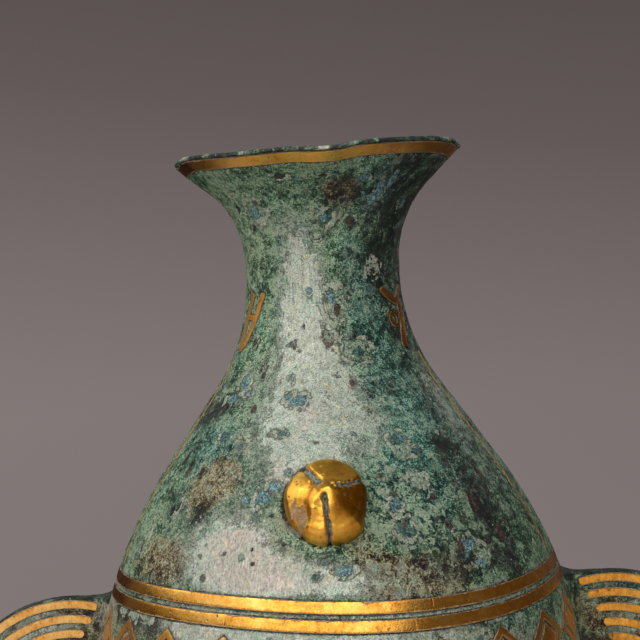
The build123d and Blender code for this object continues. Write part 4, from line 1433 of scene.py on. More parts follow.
@dataclass
class GoldInlay:
    """All gold that is let into the wall: bands, lozenges, neck ornament and side lines."""

    wall: Wall
    band_width: float = 4.9 * MM
    band_gap: float = 2.2 * MM
    register_start: float = 11.2 * MM
    lozenge_margin: float = 3.4 * MM
    lozenge_height: float = 24.0 * MM
    lozenge_width: float = 27.0 * MM
    lozenge_stroke: float = 2.8 * MM
    lozenge_line_gap: float = 1.4 * MM
    lozenge_places: int = 22
    rim_band_margin: float = 1.8 * MM
    rim_band_width: float = 6.0 * MM
    side_line_width: float = 1.4 * MM
    side_line_turn: float = math.radians(15.0)
    side_line_margin: float = 3.0 * MM
    side_line_neck_share: float = 0.72
    left_motif_azimuth: float = math.radians(-58.0)
    right_motif_azimuth: float = math.radians(63.0)
    columns: int = 900

    def __post_init__(self) -> None:
        """Places the register of bands and lozenges up the wall."""
        self.strips = GoldStrips(self.wall.place, self.wall.scale)
        start = self.wall.widest_s + self.register_start
        step = self.band_width + self.band_gap
        self.belly_low = start + self.band_width / 2
        self.belly_high = self.belly_low + step
        half_band, half_lozenge = self.band_width / 2, self.lozenge_height / 2
        self.lozenge_middle = self.belly_high + half_band + self.lozenge_margin + half_lozenge
        self.shoulder_low = self.lozenge_middle + half_lozenge + self.lozenge_margin + half_band
        self.shoulder_high = self.shoulder_low + step

    def hoop(self, name: str, s: float, width: float, finish: Material) -> None:
        """Builds a band right round the wall, with painted shade on its left and right sides.

        Args:
            name: Node that it stands for.
            s: Length up the wall at its middle.
            width: Its width.
            finish: Its gold.
        """
        store = MeshStore()
        self.strips.strip(store, ring_turns(self.columns), np.full(self.columns, s), width / 2, True)
        band = store.build(name + "_sheet", GOLD_SHARP)
        points = vectors_of(band.data.vertices, "co")
        azimuth = np.degrees(np.arctan2(points[:, 0], -points[:, 1]))
        # painted shade: the left limb, which would reflect the dark rear, is darkened
        set_weight(band, PAINTED_SHADE, ease(-52.0, -66.0, azimuth) * ease(-150.0, -110.0, azimuth))
        # painted shade: the right side, which would reflect dark surroundings, turns umber and less
        # metallic
        set_weight(band, SHADE_UMBER, ease(14.0, 34.0, azimuth) * ease(125.0, 95.0, azimuth))
        settle(band, name, finish)

    def lozenges(self, finish: Material) -> None:
        """Builds the lozenge frames and their centres."""
        frames, centres = MeshStore(), MeshStore()
        step = 2 * math.pi / self.lozenge_places
        for place in range(self.lozenge_places):
            turn = step * (place + 0.5)
            if abs(math.sin(turn)) < math.cos(step / 2):
                at = (turn, self.lozenge_middle, self.lozenge_width, self.lozenge_height)
                self.strips.diamond(frames, *at, 0.0, self.lozenge_stroke)
                self.strips.diamond(centres, *at, self.lozenge_stroke + self.lozenge_line_gap, None)
        for store, name in ((frames, "lozenge_frames"), (centres, "lozenge_centres")):
            settle(store.build(name + "_sheet", GOLD_SHARP), name, finish)

    def on_neck(self, middle: float, local: Array, face: Face) -> tuple[Array, Array]:
        """Chart line of an ornament stroke that is drawn on an upright plane.

        Args:
            middle: Azimuth of the plane.
            local: Rows of sideways distance and height.
            face: Front, or its mirror image on the rear.

        Returns:
            Azimuths and lengths up the wall.
        """
        s = self.wall.up_to(local[:, 1])
        turn = middle + np.arcsin(np.clip(local[:, 0] / self.wall.at(s)[0], -1.0, 1.0))
        return (turn if face is Face.FRONT else math.pi - turn), s

    def neck_ornament(self, finishes: dict[Side, Material]) -> None:
        """Builds the ornament on both sides of the neck, front and rear."""
        turn = np.linspace(0.0, 2 * math.pi, 40, endpoint=False)
        loop = np.stack((-3.4 + 2.7 * np.cos(turn), 268.0 + 2.7 * np.sin(turn)), 1) * MM
        left = ((through(((-1.2, 281.6), (-5.2, 271.1), (-7.5, 257.6)), 60), 1.55, False),
                (through(((6.6, 281.6), (2.4, 271.1), (-1.6, 262.6), (-7.2, 257.0)), 60), 1.55, False),
                (through(((-7.2, 271.4), (2.2, 270.9)), 24), 1.2, False))
        right = ((through(((-9.0, 281.5), (-4.0, 277.5), (1.8, 275.0)), 40), 1.55, False),
                 (through(((7.6, 282.5), (4.6, 278.2), (1.2, 275.6)), 40), 1.55, False),
                 (through(((2.4, 275.0), (4.5, 271.6), (2.6, 265.0), (-2.6, 256.0)), 50), 2.1, False),
                 (loop, 0.9, True))
        for side, middle, strokes in ((Side.LEFT, self.left_motif_azimuth, left),
                                      (Side.RIGHT, self.right_motif_azimuth, right)):
            for face in Face:
                store = MeshStore()
                for line, half, closed in strokes:
                    a, b = self.on_neck(middle, line, face)
                    self.strips.strip(store, a, b, half * MM, closed, True)
                name = f"{side.name.lower()}_neck_inlay_{face.name.lower()}"
                settle(store.build(name + "_strip", GOLD_SHARP), name, finishes[side])

    def side_lines(self, finish: Material) -> None:
        """Builds the pairs of thin lines down both sides."""
        low_z = float(self.wall.at(np.array([self.shoulder_high + self.band_width / 2]))[1][0])
        low_z += self.side_line_margin
        rise = self.wall.neck_arc_radius * math.sin(self.wall.shoulder_slope)
        high_z = self.wall.throat_low_z - self.side_line_neck_share * rise
        s = np.linspace(*self.wall.up_to(np.array([low_z, high_z])), 180)
        for side in Side:
            store = MeshStore()
            for away in (-self.side_line_turn, self.side_line_turn):
                turn = np.full(len(s), side.value * (math.pi / 2 + away))
                self.strips.strip(store, turn, s, self.side_line_width / 2, False)
            name = f"{side.name.lower()}_side_lines"
            settle(store.build(name + "_strip", GOLD_SHARP), name, finish)

    def build(self) -> None:
        """Builds and dresses all of the inlay."""
        band = GoldFinish("band_gold_sheet", deep=(0.84, 0.37, 0.05),
                          shade_paint=(0.145, 0.044, 0.006)).material()
        rim = GoldFinish("rim_gold_sheet", crust_share=0.03, roughness=0.3).material()
        diamond = GoldFinish("lozenge_gold_sheet", (0.95, 0.55, 0.14), (0.84, 0.39, 0.07), crust_share=0.01,
                             roughness=0.4).material()
        line = GoldFinish("line_gold_strip", (0.95, 0.53, 0.13), (0.88, 0.42, 0.08), crust_share=-0.02,
                          roughness=0.46).material()
        # darker copy of the line gold for the right neck motif, which stands in the shade on the right:
        # painted shade
        dull = GoldFinish("dull_gold_strip", (0.86, 0.41, 0.08), (0.52, 0.2, 0.035), crust_share=-0.04,
                          roughness=0.46).material()
        rim_s = self.wall.length - self.rim_band_margin - self.rim_band_width / 2
        self.hoop("rim_band", rim_s, self.rim_band_width, rim)
        bands = (("belly_band_lower", self.belly_low), ("belly_band_upper", self.belly_high),
                 ("shoulder_band_lower", self.shoulder_low), ("shoulder_band_upper", self.shoulder_high))
        for name, s in bands:
            self.hoop(name, s, self.band_width, band)
        self.lozenges(diamond)
        self.neck_ornament({Side.LEFT: line, Side.RIGHT: dull})
        self.side_lines(line)


@dataclass(frozen=True)
class BossCut:
    """One groove of the boss, in millimetres of its plane."""

    line: tuple[tuple[float, float], ...]
    half_inner: float
    half_outer: float
    depth: float


@dataclass(frozen=True)
class BossFold:
    """One soft ridge or valley of the boss, in millimetres of its plane."""

    line: tuple[tuple[float, float], ...]
    height: float
    half: float


@dataclass
class Boss:
    """Domed gold cap with three curved grooves, over the stud on the belly."""

    wall: Wall
    latitude: float = math.radians(33.5)
    radius: float = 17.8
    edge_radius: float = 8.0
    edge_turn: float = math.radians(45.0)
    grooves: tuple[BossCut, ...] = (
        BossCut(((-0.3, -1.8), (0.0, -6.0), (0.4, -11.0), (1.2, -19.0)), 1.0, 1.15, 1.7),
        BossCut(((-2.8, 5.0), (-5.0, 7.6), (-11.0, 16.0)), 1.75, 1.25, 1.5),
        BossCut(((5.6, 2.9), (10.0, 4.2), (17.5, 10.4)), 1.15, 1.3, 1.4),
    )
    folds: tuple[BossFold, ...] = (
        BossFold(((-3.6, 5.4), (-6.4, 2.6), (-8.7, -1.2), (-9.9, -4.5)), -1.15, 2.0),
        BossFold(((1.0, 1.0), (-3.1, -2.4), (-5.6, -6.2)), 0.65, 1.7),
        BossFold(((-4.8, -7.0), (-6.6, -12.4)), 0.5, 1.1),
        BossFold(((3.0, 3.6), (6.0, 3.8)), 0.5, 0.9),
        BossFold(((3.4, 1.9), (6.6, 1.4)), -0.45, 0.9),
    )
    facet_turns: tuple[float, ...] = (143, 90, 47, -20, -62, -122, -169)
    facet_tilts: tuple[float, ...] = (26, 22, 27, 34, 31, 27, 27)
    facet_cuts: tuple[float, ...] = (0.75, 0.75, 0.75, 0.95, 0.4, 0.75, 0.75)
    facet_reach: float = 8.5
    facet_edge: float = 2.6
    facet_share: float = 0.9
    facet_fade: tuple[float, float] = (17.4, 13.5)
    crown_height: float = 12.1
    outline_turns: tuple[float, ...] = (0, 31, 67, 108, 124, 164, 188, 207, 226, 262, 279, 317, 335)
    outline_shares: tuple[float, ...] = (
        0.88, 0.965, 0.98, 0.96, 0.93, 0.94, 0.92, 0.965, 0.955, 1.04, 1.03, 1.05, 0.91
    )
    hollow_place: tuple[float, float] = (-10.6, -8.0)
    hollow_tilt: float = math.radians(18.0)
    hollow_half: tuple[float, float] = (3.6, 5.2)
    hollow_depth: float = 2.2
    dent: float = 0.15
    sheet: float = 0.85
    shank_radius: float = 4.5 * MM
    shank_length: float = 5.2 * MM
    columns: int = 300
    crown_rows: int = 120

    def dome(self) -> tuple[Array, Array]:
        """Radius, height and outward normal along the dome's outline, in millimetres.

        Returns:
            Rows of radius and height, and rows of their normals.
        """
        edge = arc((self.radius - self.edge_radius, 0.0), self.edge_radius, 0.0, self.edge_turn, count=34)
        crown_radius = edge[-1, 0] / math.cos(self.edge_turn)
        base = edge[-1, 1] - crown_radius * math.sin(self.edge_turn)
        crown = arc((0.0, base), crown_radius, self.edge_turn, math.pi / 2, count=self.crown_rows)
        rows = np.concatenate((edge, crown[1:]))
        return rows[:, :2], rows[:, 2:]

    @staticmethod
    def away(u: Array, v: Array, line: Sequence[tuple[float, float]]) -> tuple[Array, Array]:
        """Distance to a bent line and the share of the line passed there.

        Args:
            u: Sideways places.
            v: Upward places.
            line: Points of the line.

        Returns:
            Distances, and shares from 0 at the first point to 1 at the last.
        """
        dense = through(line, 80) / MM
        gap = np.hypot(u[..., None] - dense[:, 0], v[..., None] - dense[:, 1])
        nearest = gap.argmin(-1)
        return np.take_along_axis(gap, nearest[..., None], -1)[..., 0], nearest / 79.0

    def facets(self, u: Array, v: Array) -> Array:
        """How far the hammered flats lie over or under the round dome.

        Args:
            u: Sideways places in millimetres.
            v: Upward places in millimetres.

        Returns:
            Heights in millimetres.
        """
        ball = (self.radius - self.edge_radius) / math.cos(self.edge_turn) + self.edge_radius
        sunk = self.edge_radius * math.sin(self.edge_turn) - ball * math.sin(self.edge_turn)
        reach = np.hypot(u, v)
        dome = sunk + np.sqrt(ball**2 - np.minimum(reach, 0.95 * ball) ** 2)
        turns, tilts = np.radians(self.facet_turns), np.radians(self.facet_tilts)
        toward = u[..., None] * np.cos(turns) + v[..., None] * np.sin(turns)
        middle = sunk + math.sqrt(ball**2 - self.facet_reach**2) - np.array(self.facet_cuts)
        planes = middle + np.tan(tilts) * (self.facet_reach - toward)
        planes = np.concatenate((planes, np.full(u.shape + (1,), self.crown_height)), -1)
        flats = -np.log(np.exp(-self.facet_edge * planes).sum(-1)) / self.facet_edge
        return (flats - dome) * ease(*self.facet_fade, reach)

    def relief(self, u: Array, v: Array) -> tuple[Array, Array]:
        """Height of flats, grooves and dents over the dome, and the weight of the groove fill.

        Args:
            u: Sideways places in millimetres.
            v: Upward places in millimetres.

        Returns:
            Heights in millimetres and weights.
        """
        height = self.facet_share * self.facets(u, v)
        fill = np.zeros_like(u)
        places = np.stack((u, v, 0.0 * u), -1).reshape(-1, 3) * MM
        uneven = 0.95 * Relief(Seed.BOSS_GROOVES).layered(places, 2.6 * MM, 2, 0.7).reshape(u.shape)
        for cut in self.grooves:
            gap, share = self.away(u, v, cut.line)
            gap = np.abs(gap + uneven)
            half = cut.half_inner + (cut.half_outer - cut.half_inner) * share
            height -= cut.depth * np.exp(-((gap / half) ** 4)) * (0.6 + 0.4 * ease(0.0, 0.2, share))
            height -= 0.55 * np.exp(-((gap / (half + 2.2)) ** 2))
            fill = np.maximum(fill, ease(1.25, 0.75, gap / half))
        for fold in self.folds:
            gap, _ = self.away(u, v, fold.line)
            height += fold.height * np.exp(-((gap / fold.half) ** 2))
        right, up = u - self.hollow_place[0], v - self.hollow_place[1]
        across = right * math.cos(self.hollow_tilt) + up * math.sin(self.hollow_tilt)
        along = up * math.cos(self.hollow_tilt) - right * math.sin(self.hollow_tilt)
        hollow = np.exp(-((across / self.hollow_half[0]) ** 2) - (along / self.hollow_half[1]) ** 2)
        height -= self.hollow_depth * hollow
        dents = Relief(Seed.BOSS_DENTS).layered(places, 5 * MM, 3, 0.5).reshape(u.shape)
        torn = Relief(Seed.BOSS_TEARS).layered(places, 3 * MM, 3, 0.7).reshape(u.shape)
        fill = np.maximum(fill, 0.54 * ease(0.1, 0.55, hollow + 0.8 * torn))
        return height + self.dent * dents, fill

    def plane(self) -> tuple[Array, Array]:
        """Middle of the boss on the wall, and rows of its axes: across, up and out."""
        wall = self.wall
        reach = wall.widest_r - wall.belly_upper_radius * (1.0 - math.cos(self.latitude))
        rise = wall.widest_z + wall.belly_upper_radius * math.sin(self.latitude)
        axes = np.array([[1.0, 0.0, 0.0],
                         [0.0, math.sin(self.latitude), math.cos(self.latitude)],
                         [0.0, -math.cos(self.latitude), math.sin(self.latitude)]])
        return np.array([0.0, -reach, rise]), axes

    def turns(self) -> Array:
        """Angles round the boss."""
        return np.linspace(0.0, 2 * math.pi, self.columns, endpoint=False)

    def surface(self, inset: float) -> tuple[Array, Array, Array]:
        """Dome with its relief, from the edge to the crown.

        Args:
            inset: Depth in millimetres under the cap's face.

        Returns:
            Points as (row, column, 3), the groove fill and the share of the radius.
        """
        line, normal = self.dome()
        ring, angle = np.meshgrid(line[:, 0], self.turns(), indexing="ij")
        share = ring / self.radius
        outline = np.interp(np.degrees(angle), self.outline_turns, self.outline_shares, period=360)
        reach = ring * (1.0 + (outline - 1.0) * share**2)
        bump, fill = self.relief(reach * np.cos(angle), reach * np.sin(angle))
        bump = np.minimum(bump, 0.0) - inset if inset else bump
        out = reach + normal[:, :1] * bump
        local = np.stack((out * np.cos(angle), out * np.sin(angle), line[:, 1:] + normal[:, 1:] * bump), -1)
        middle, axes = self.plane()
        return middle + local * MM @ axes, fill, share

    def onto_wall(self, points: Array, sink: float) -> Array:
        """Moves points in along the boss's axis until they lie under the wall's face.

        Args:
            points: Points outside the wall, one per row.
            sink: Depth under the face.

        Returns:
            The moved points.
        """
        way = self.plane()[1][2]
        low, high = np.zeros(len(points)), np.full(len(points), 9.0 * MM)
        for _ in range(40):
            middle = 0.5 * (low + high)
            there = points - middle[:, None] * way
            inside = np.hypot(there[:, 0], there[:, 1]) < self.wall.radius_at(there[:, 2]) - sink
            high = np.where(inside, middle, high)
            low = np.where(inside, low, middle)
        return points - high[:, None] * way

    def circle(self, radius: float, out: float) -> Array:
        """Points of a circle round the boss's axis, at a height over its plane."""
        middle, axes = self.plane()
        turn = self.turns()
        local = np.stack((radius * np.cos(turn), radius * np.sin(turn), np.full(self.columns, out)), 1)
        return middle + local @ axes

    def place(self, name: str, face: Face, grid: Array, weights: dict[str, Array]) -> Piece:
        """Builds one piece of the boss on the front or, turned round, on the rear."""
        if face is Face.REAR:
            grid = grid * np.array([-1.0, -1.0, 1.0])
        store = MeshStore()
        store.add(grid, False, True, False, weights)
        return store.build(name)

    def cap(self, face: Face, finish: Material) -> None:
        """Builds the cap on one face of the vessel.

        Args:
            face: Front or rear.
            finish: Its gold.
        """
        cap, fill, share = self.surface(0.0)
        foot = self.onto_wall(cap[0], 0.35 * MM)
        skirt = [foot + q * (cap[0] - foot) for q in (0.0, 0.33, 0.66)]
        edge = np.concatenate((np.full((3, self.columns), 0.9), held(share) ** 6 * 0.8))
        fills = np.concatenate((np.repeat(fill[:1], 3, 0), fill))
        name = f"{face.name.lower()}_boss_cap"
        grid = np.concatenate((skirt, cap))
        middle, axes = self.plane()
        across, up = np.moveaxis((grid - middle) @ axes.T / MM, -1, 0)[:2]
        # painted shade: the right lobe, under its right groove, is darkened where it would reflect dark
        # surroundings
        under = ease(1.0, -1.0, up - 2.9 - 0.66 * (across - 6.2))
        dull = 0.95 * ease(1.0, 4.0, across) * under * (0.4 + 0.6 * ease(-15.0, -5.0, up))
        piece = self.place(name + "_sheet", face, grid,
                           {EDGE: edge, GROOVE: fills, ALONG: 0.0 * edge, PAINTED_SHADE: dull})
        settle(piece, name, finish)

    def stud(self, face: Face, finish: Material) -> None:
        """Builds the core under the cap, with its shank through the wall.

        Args:
            face: Front or rear.
            finish: Its bronze.
        """
        dome = self.surface(self.sheet)[0]
        collar = self.onto_wall(self.circle(self.shank_radius, 0.0), 0.1 * MM)
        rows = [self.circle(radius, -self.shank_length) for radius in (0.01 * MM, self.shank_radius)]
        rows += [collar, self.onto_wall(dome[0], 0.1 * MM)]
        name = f"{face.name.lower()}_boss_stud"
        piece = self.place(name + "_core", face, np.concatenate((rows, dome)), {})
        settle(piece, name, finish)


HANDLE_TONES: dict[Side, dict[Tone, float]] = {
    Side.LEFT: {Tone.DARK: 0.4, Tone.EARTH: 0.7, Tone.MINT: 0.1,
                Tone.TEAL: 0.0, Tone.PALE: 0.6, Tone.LILAC: 0.7},
    Side.RIGHT: {Tone.DARK: 0.6, Tone.EARTH: 0.3, Tone.MINT: 0.4,
                 Tone.TEAL: 0.25, Tone.PALE: 0.1, Tone.LILAC: 0.0},
}


@dataclass
class StrapHandle:
    """Flat strap handle with flared roots, and gold stripes on both faces."""

    wall: Wall
    side: Side
    radius: float = 55.9 * MM
    strap: float = 32.9 * MM
    thickness: float = 7.5 * MM
    stand_off: float = 13.1 * MM
    drop: float = 5.6 * MM
    corner: float = 1.5 * MM
    root_width: float = 24.0 * MM
    root_height: float = 37.0 * MM
    root_fillet: float = 8.0 * MM
    tenon_width: float = 4.5 * MM
    tenon_height: float = 18.0 * MM
    stripe_count: int = 5
    stripe_width: float = 3.8 * MM
    stripe_pitch: float = 6.55 * MM
    stripe_edge_margin: float = 2.5 * MM
    stripe_half_turn: float = math.radians(106.0)
    stripe_turn_step: float = math.radians(3.2)
    rise: float = 1.6 * MM
    root_sink: float = 0.5 * MM
    tenon_stations: tuple[float, ...] = (0.0, 2.0, 4.0, 5.2)
    crust: float = 0.17 * MM
    swell: float = 0.25 * MM
    channel_depth: float = 0.5 * MM
    channel_side: float = 0.7 * MM
    stripe_columns: int = 260

    def __post_init__(self) -> None:
        """Places the loop in its plane."""
        self.x = self.wall.widest_r + self.stand_off
        self.rise = self.side.value * self.rise
        self.z = self.wall.widest_z - self.drop + self.rise
        self.middle = self.radius - self.strap / 2

    def section(self) -> Array:
        """Outline of the strap: rows of distance from its middle line and of thickness."""
        half_w, half_t, c = self.strap / 2, self.thickness / 2, self.corner
        across = np.linspace(-half_w + c, half_w - c, 44)
        bend = np.linspace(0.0, math.pi / 2, 6)[1:-1]
        short = np.linspace(-half_t + c, half_t - c, 6)
        rows = [(w, -half_t) for w in across]
        rows += [(half_w - c + c * math.sin(t), -half_t + c - c * math.cos(t)) for t in bend]
        rows += [(half_w, t) for t in short]
        rows += [(half_w - c + c * math.cos(t), half_t - c + c * math.sin(t)) for t in bend]
        half = np.array(rows)
        return np.concatenate((half, -half))

    def root(self, way: int, steps: int) -> Array:
        """Straight end of the strap, which flares out where it meets the wall.

        Args:
            way: 1 for the upper end, -1 for the lower one.
            steps: Stations from the loop to the wall.

        Returns:
            Points as (station, outline point, 3).
        """
        rows = self.section()
        w, t = rows[None, :, 0], rows[None, :, 1]
        share = np.linspace(0.0, 1.0, steps)[:, None]
        height = self.z + way * (self.middle + w)
        bare = self.wall.radius_at(height)
        length = self.x - bare
        left = (1.0 - share) * length
        flare = held(1.0 - left / self.root_fillet) ** 2.2
        y = t * (1.0 + (self.root_width / self.thickness - 1.0) * flare)
        tall = w * (1.0 + (self.root_height / self.strap - 1.0) * flare)
        z = self.z + way * (self.middle + tall)
        wall_x = np.sqrt(np.maximum(self.wall.radius_at(z) ** 2 - y**2, 1e-6)) - self.root_sink
        x = self.x + share * (wall_x - self.x)
        return np.stack((x, y, z), -1)

    def loop(self, steps: int) -> Array:
        """Bend of the strap from its upper to its lower straight end."""
        rows = self.section()
        turn = np.linspace(math.pi / 2, -math.pi / 2, steps)[:, None]
        reach = self.middle + rows[None, :, 0]
        return np.stack((self.x + reach * np.cos(turn), rows[None, :, 1] + 0.0 * turn,
                         self.z + reach * np.sin(turn)), -1)

    def tenon(self, way: int) -> Array:
        """Tenon that passes through the wall behind a root, with rounded corners."""
        turn = np.linspace(0.0, 2 * math.pi, 40, endpoint=False)
        square = np.stack((np.cos(turn), np.sin(turn)), 1)
        square = np.sign(square) * np.abs(square) ** 0.3
        z = self.z + way * self.middle + square[:, 1] * self.tenon_height / 2
        y = square[:, 0] * self.tenon_width / 2
        outer = np.sqrt(self.wall.radius_at(z) ** 2 - y**2)
        depths = np.array(self.tenon_stations) * MM
        return np.stack([np.stack((outer - d, y, z), 1) for d in depths])

    def build(self, finish: Material) -> None:
        """Builds the handle with its crust.

        Args:
            finish: Its patina.
        """
        store = MeshStore()
        upper, bend, lower = self.root(1, 34)[::-1], self.loop(230), self.root(-1, 44)
        for grid in (np.concatenate((upper, bend[1:-1], lower)), self.tenon(1), self.tenon(-1)):
            store.add(grid, False, True, True, flip=True)
        name = f"{self.side.name.lower()}_handle"
        piece = store.build(name + "_cast", 55.0)
        points = vectors_of(piece.data.vertices, "co")
        normals = vectors_of(piece.data.vertex_normals, "vector")
        stripes = [f"right_handle_stripes_{face.name.lower()}" for face in Face]
        gap = Nearness(stripes).measure(points - np.array([0.0, 0.0, self.rise]), 5 * MM)
        calm = ease(0.3 * MM, 1.8 * MM, gap)
        inside = np.hypot(points[:, 0], points[:, 1]) < self.wall.radius_at(points[:, 2]) - 0.1 * MM
        texture = Relief(Seed.HANDLE_CRUST).layered(points, 6 * MM, 3, 0.6)
        texture += 0.6 * Relief(Seed.HANDLE_GRIT).layered(points, 2.4 * MM, 2)
        swell = Relief(Seed.HANDLE_SWELL).layered(points, 30 * MM, 2)
        lift = self.crust * texture * (0.3 + 0.7 * calm) + self.swell * swell
        lift -= self.channel_depth * (1.0 - ease(0.0, self.channel_side, gap))
        points = points + normals * np.where(inside, 0.0, lift)[:, None]
        mirror = np.array([self.side.value, 1.0, 1.0])
        set_points(piece, points * mirror)
        if self.side is Side.LEFT:
            piece.data.flip_normals()
        set_weight(piece, GOLD_GAP, gap / MM)
        seed = Seed[f"{self.side.name}_HANDLE_TONES"]
        brim = ease(self.radius - 1.6 * MM, self.radius - 0.4 * MM,
                    np.hypot(np.maximum(points[:, 0] - self.x, 0.0), points[:, 2] - self.z))
        for tone, patchy in patches(points, seed, 24 * MM, HANDLE_TONES[self.side]).items():
            edge = 1.0 if tone is Tone.DARK else 0.0
            set_weight(piece, tone.value, held(patchy + (edge - patchy) * brim))
        settle(piece, name, finish)

    def stripes(self, face: Face, finish: Material) -> None:
        """Builds the gold stripes of one face.

        Args:
            face: Front or rear.
            finish: Their gold.
        """
        def chart(turn: Array, reach: Array, lift: Array) -> Array:
            """Points over the strap's face, by angle and distance in the loop's plane."""
            turn, reach, lift = np.broadcast_arrays(turn, reach, lift)
            x = self.side.value * (self.x + reach * np.cos(turn))
            y = face.value * (self.thickness / 2 + lift)
            return np.stack((x, y, self.z + reach * np.sin(turn)), -1)

        seed = Seed.STRIPES + self.side.value + 2 * face.value
        strips = GoldStrips(chart, lambda turn, reach: reach, seed=seed)
        store = MeshStore()
        for number in range(self.stripe_count):
            reach = self.radius - self.stripe_edge_margin - number * self.stripe_pitch
            half_turn = self.stripe_half_turn - number * self.stripe_turn_step
            turn = np.linspace(-half_turn, half_turn, self.stripe_columns)
            strips.strip(store, turn, np.full(len(turn), reach), self.stripe_width / 2, False, True)
        name = f"{self.side.name.lower()}_handle_stripes_{face.name.lower()}"
        piece = store.build(name + "_strip", GOLD_SHARP)
        if self.side.value * face.value < 0:
            piece.data.flip_normals()
        settle(piece, name, finish)


FOOT_TONES: dict[Tone, float] = {
    Tone.DARK: 0.3, Tone.EARTH: 0.35, Tone.MINT: 0.3, Tone.TEAL: 0.3, Tone.PALE: 0.1,
}


@dataclass
class FootRing:
    """Foot ring with a stepped lower edge."""

    wall: Wall
    foot_wall: float = 7.5 * MM
    step_height: float = 7.0 * MM
    step_out: float = 2.0 * MM
    flare: float = 3.5 * MM
    base_width: float = 6.0 * MM
    spigot_height: float = 3.0 * MM
    soft_edge: float = 0.7 * MM
    crust: float = 0.22 * MM
    swell: float = 0.15 * MM
    columns: int = 620

    def build(self, finish: Material) -> None:
        """Builds the ring with its crust.

        Args:
            finish: Its patina.
        """
        top, radius = self.wall.foot_height, float(self.wall.line["r"][0])
        base = radius + self.flare + self.step_out
        soft = self.soft_edge
        side = np.linspace(0.0, 1.0, 34)
        outer = np.stack((radius + self.flare * side**2 * (1.15 - 0.15 * side),
                          top + side * (self.step_height - top)), 1)
        inner_top = radius - self.foot_wall
        rows = np.concatenate((
            [(inner_top, top), (radius - 1.2 * MM, top), (radius - 0.2 * MM, top - 0.1 * MM)],
            outer[1:],
            [(base - soft, self.step_height), (base - 0.2 * MM, self.step_height - 0.2 * MM)],
            [(base, z) for z in np.linspace(self.step_height - soft, soft, 7)],
            [(base - 0.2 * MM, 0.2 * MM), (base - soft, 0.0), (base - self.base_width + soft, 0.0),
             (base - self.base_width, 0.4 * MM)],
            [(base - self.base_width + q * (inner_top - base + self.base_width),
              0.4 * MM + q * (top - self.spigot_height)) for q in np.linspace(0.1, 1, 12)],
        ))
        store = MeshStore()
        store.add(turned(rows, self.columns)[::-1], True, True, False)
        piece = store.build("ring_foot_cast", 60.0)
        points = vectors_of(piece.data.vertices, "co")
        normals = vectors_of(piece.data.vertex_normals, "vector")
        keep = ease(0.6 * MM, 2.2 * MM, points[:, 2]) * ease(top, top - 2 * MM, points[:, 2])
        lift = self.crust * Relief(Seed.FOOT_CRUST).layered(points, 7 * MM, 4, 0.6)
        lift += self.swell * Relief(Seed.FOOT_SWELL).layered(points, 25 * MM, 2)
        set_points(piece, points + normals * (lift * keep)[:, None])
        set_weight(piece, GOLD_GAP, np.full(len(points), 5.0))
        for tone, patchy in patches(points, Seed.FOOT_TONES, 34 * MM, FOOT_TONES).items():
            set_weight(piece, tone.value, held(patchy))
        settle(piece, "ring_foot", finish)


@dataclass
class InnerPieces:
    """Solids that stay as packed: roves and tenon caps inside the wall."""

    names: tuple[str, ...] = (
        "left_handle_tenon_caps", "right_handle_tenon_caps", "front_boss_rove", "rear_boss_rove",
    )

    def dress(self, finish: Material) -> None:
        """Gives every solid that stays its finish."""
        for name in self.names:
            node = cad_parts[name]
            node.data.materials.clear()
            node.data.materials.append(finish)
            log.info("%s: kept as packed", name)


@dataclass(frozen=True)
class Lamp:
    """Soft lamp that looks at the vessel's shoulder, with its angles in degrees from the front."""

    name: str
    azimuth: float
    elevation: float
    distance: float
    size: tuple[float, float]
    power: float
    colour: Colour = (1.0, 1.0, 1.0)
    target: tuple[float, float, float] = (0.0, 0.0, 0.2)

    def hang(self) -> None:
        """Adds the lamp to the scene."""
        data = bpy.data.lights.new(self.name, "AREA")
        data.shape = "RECTANGLE"
        data.size, data.size_y = self.size
        data.energy, data.color = self.power, self.colour
        made = bpy.data.objects.new(self.name, data)
        a, e = math.radians(self.azimuth), math.radians(self.elevation)
        back = Vector((math.sin(a) * math.cos(e), -math.cos(a) * math.cos(e), math.sin(e)))
        made.location = Vector(self.target) + self.distance * back
        made.rotation_mode = "QUATERNION"
        made.rotation_quaternion = back.to_track_quat("Z", "Y")
        made.visible_camera = False
        bpy.context.scene.collection.objects.link(made)


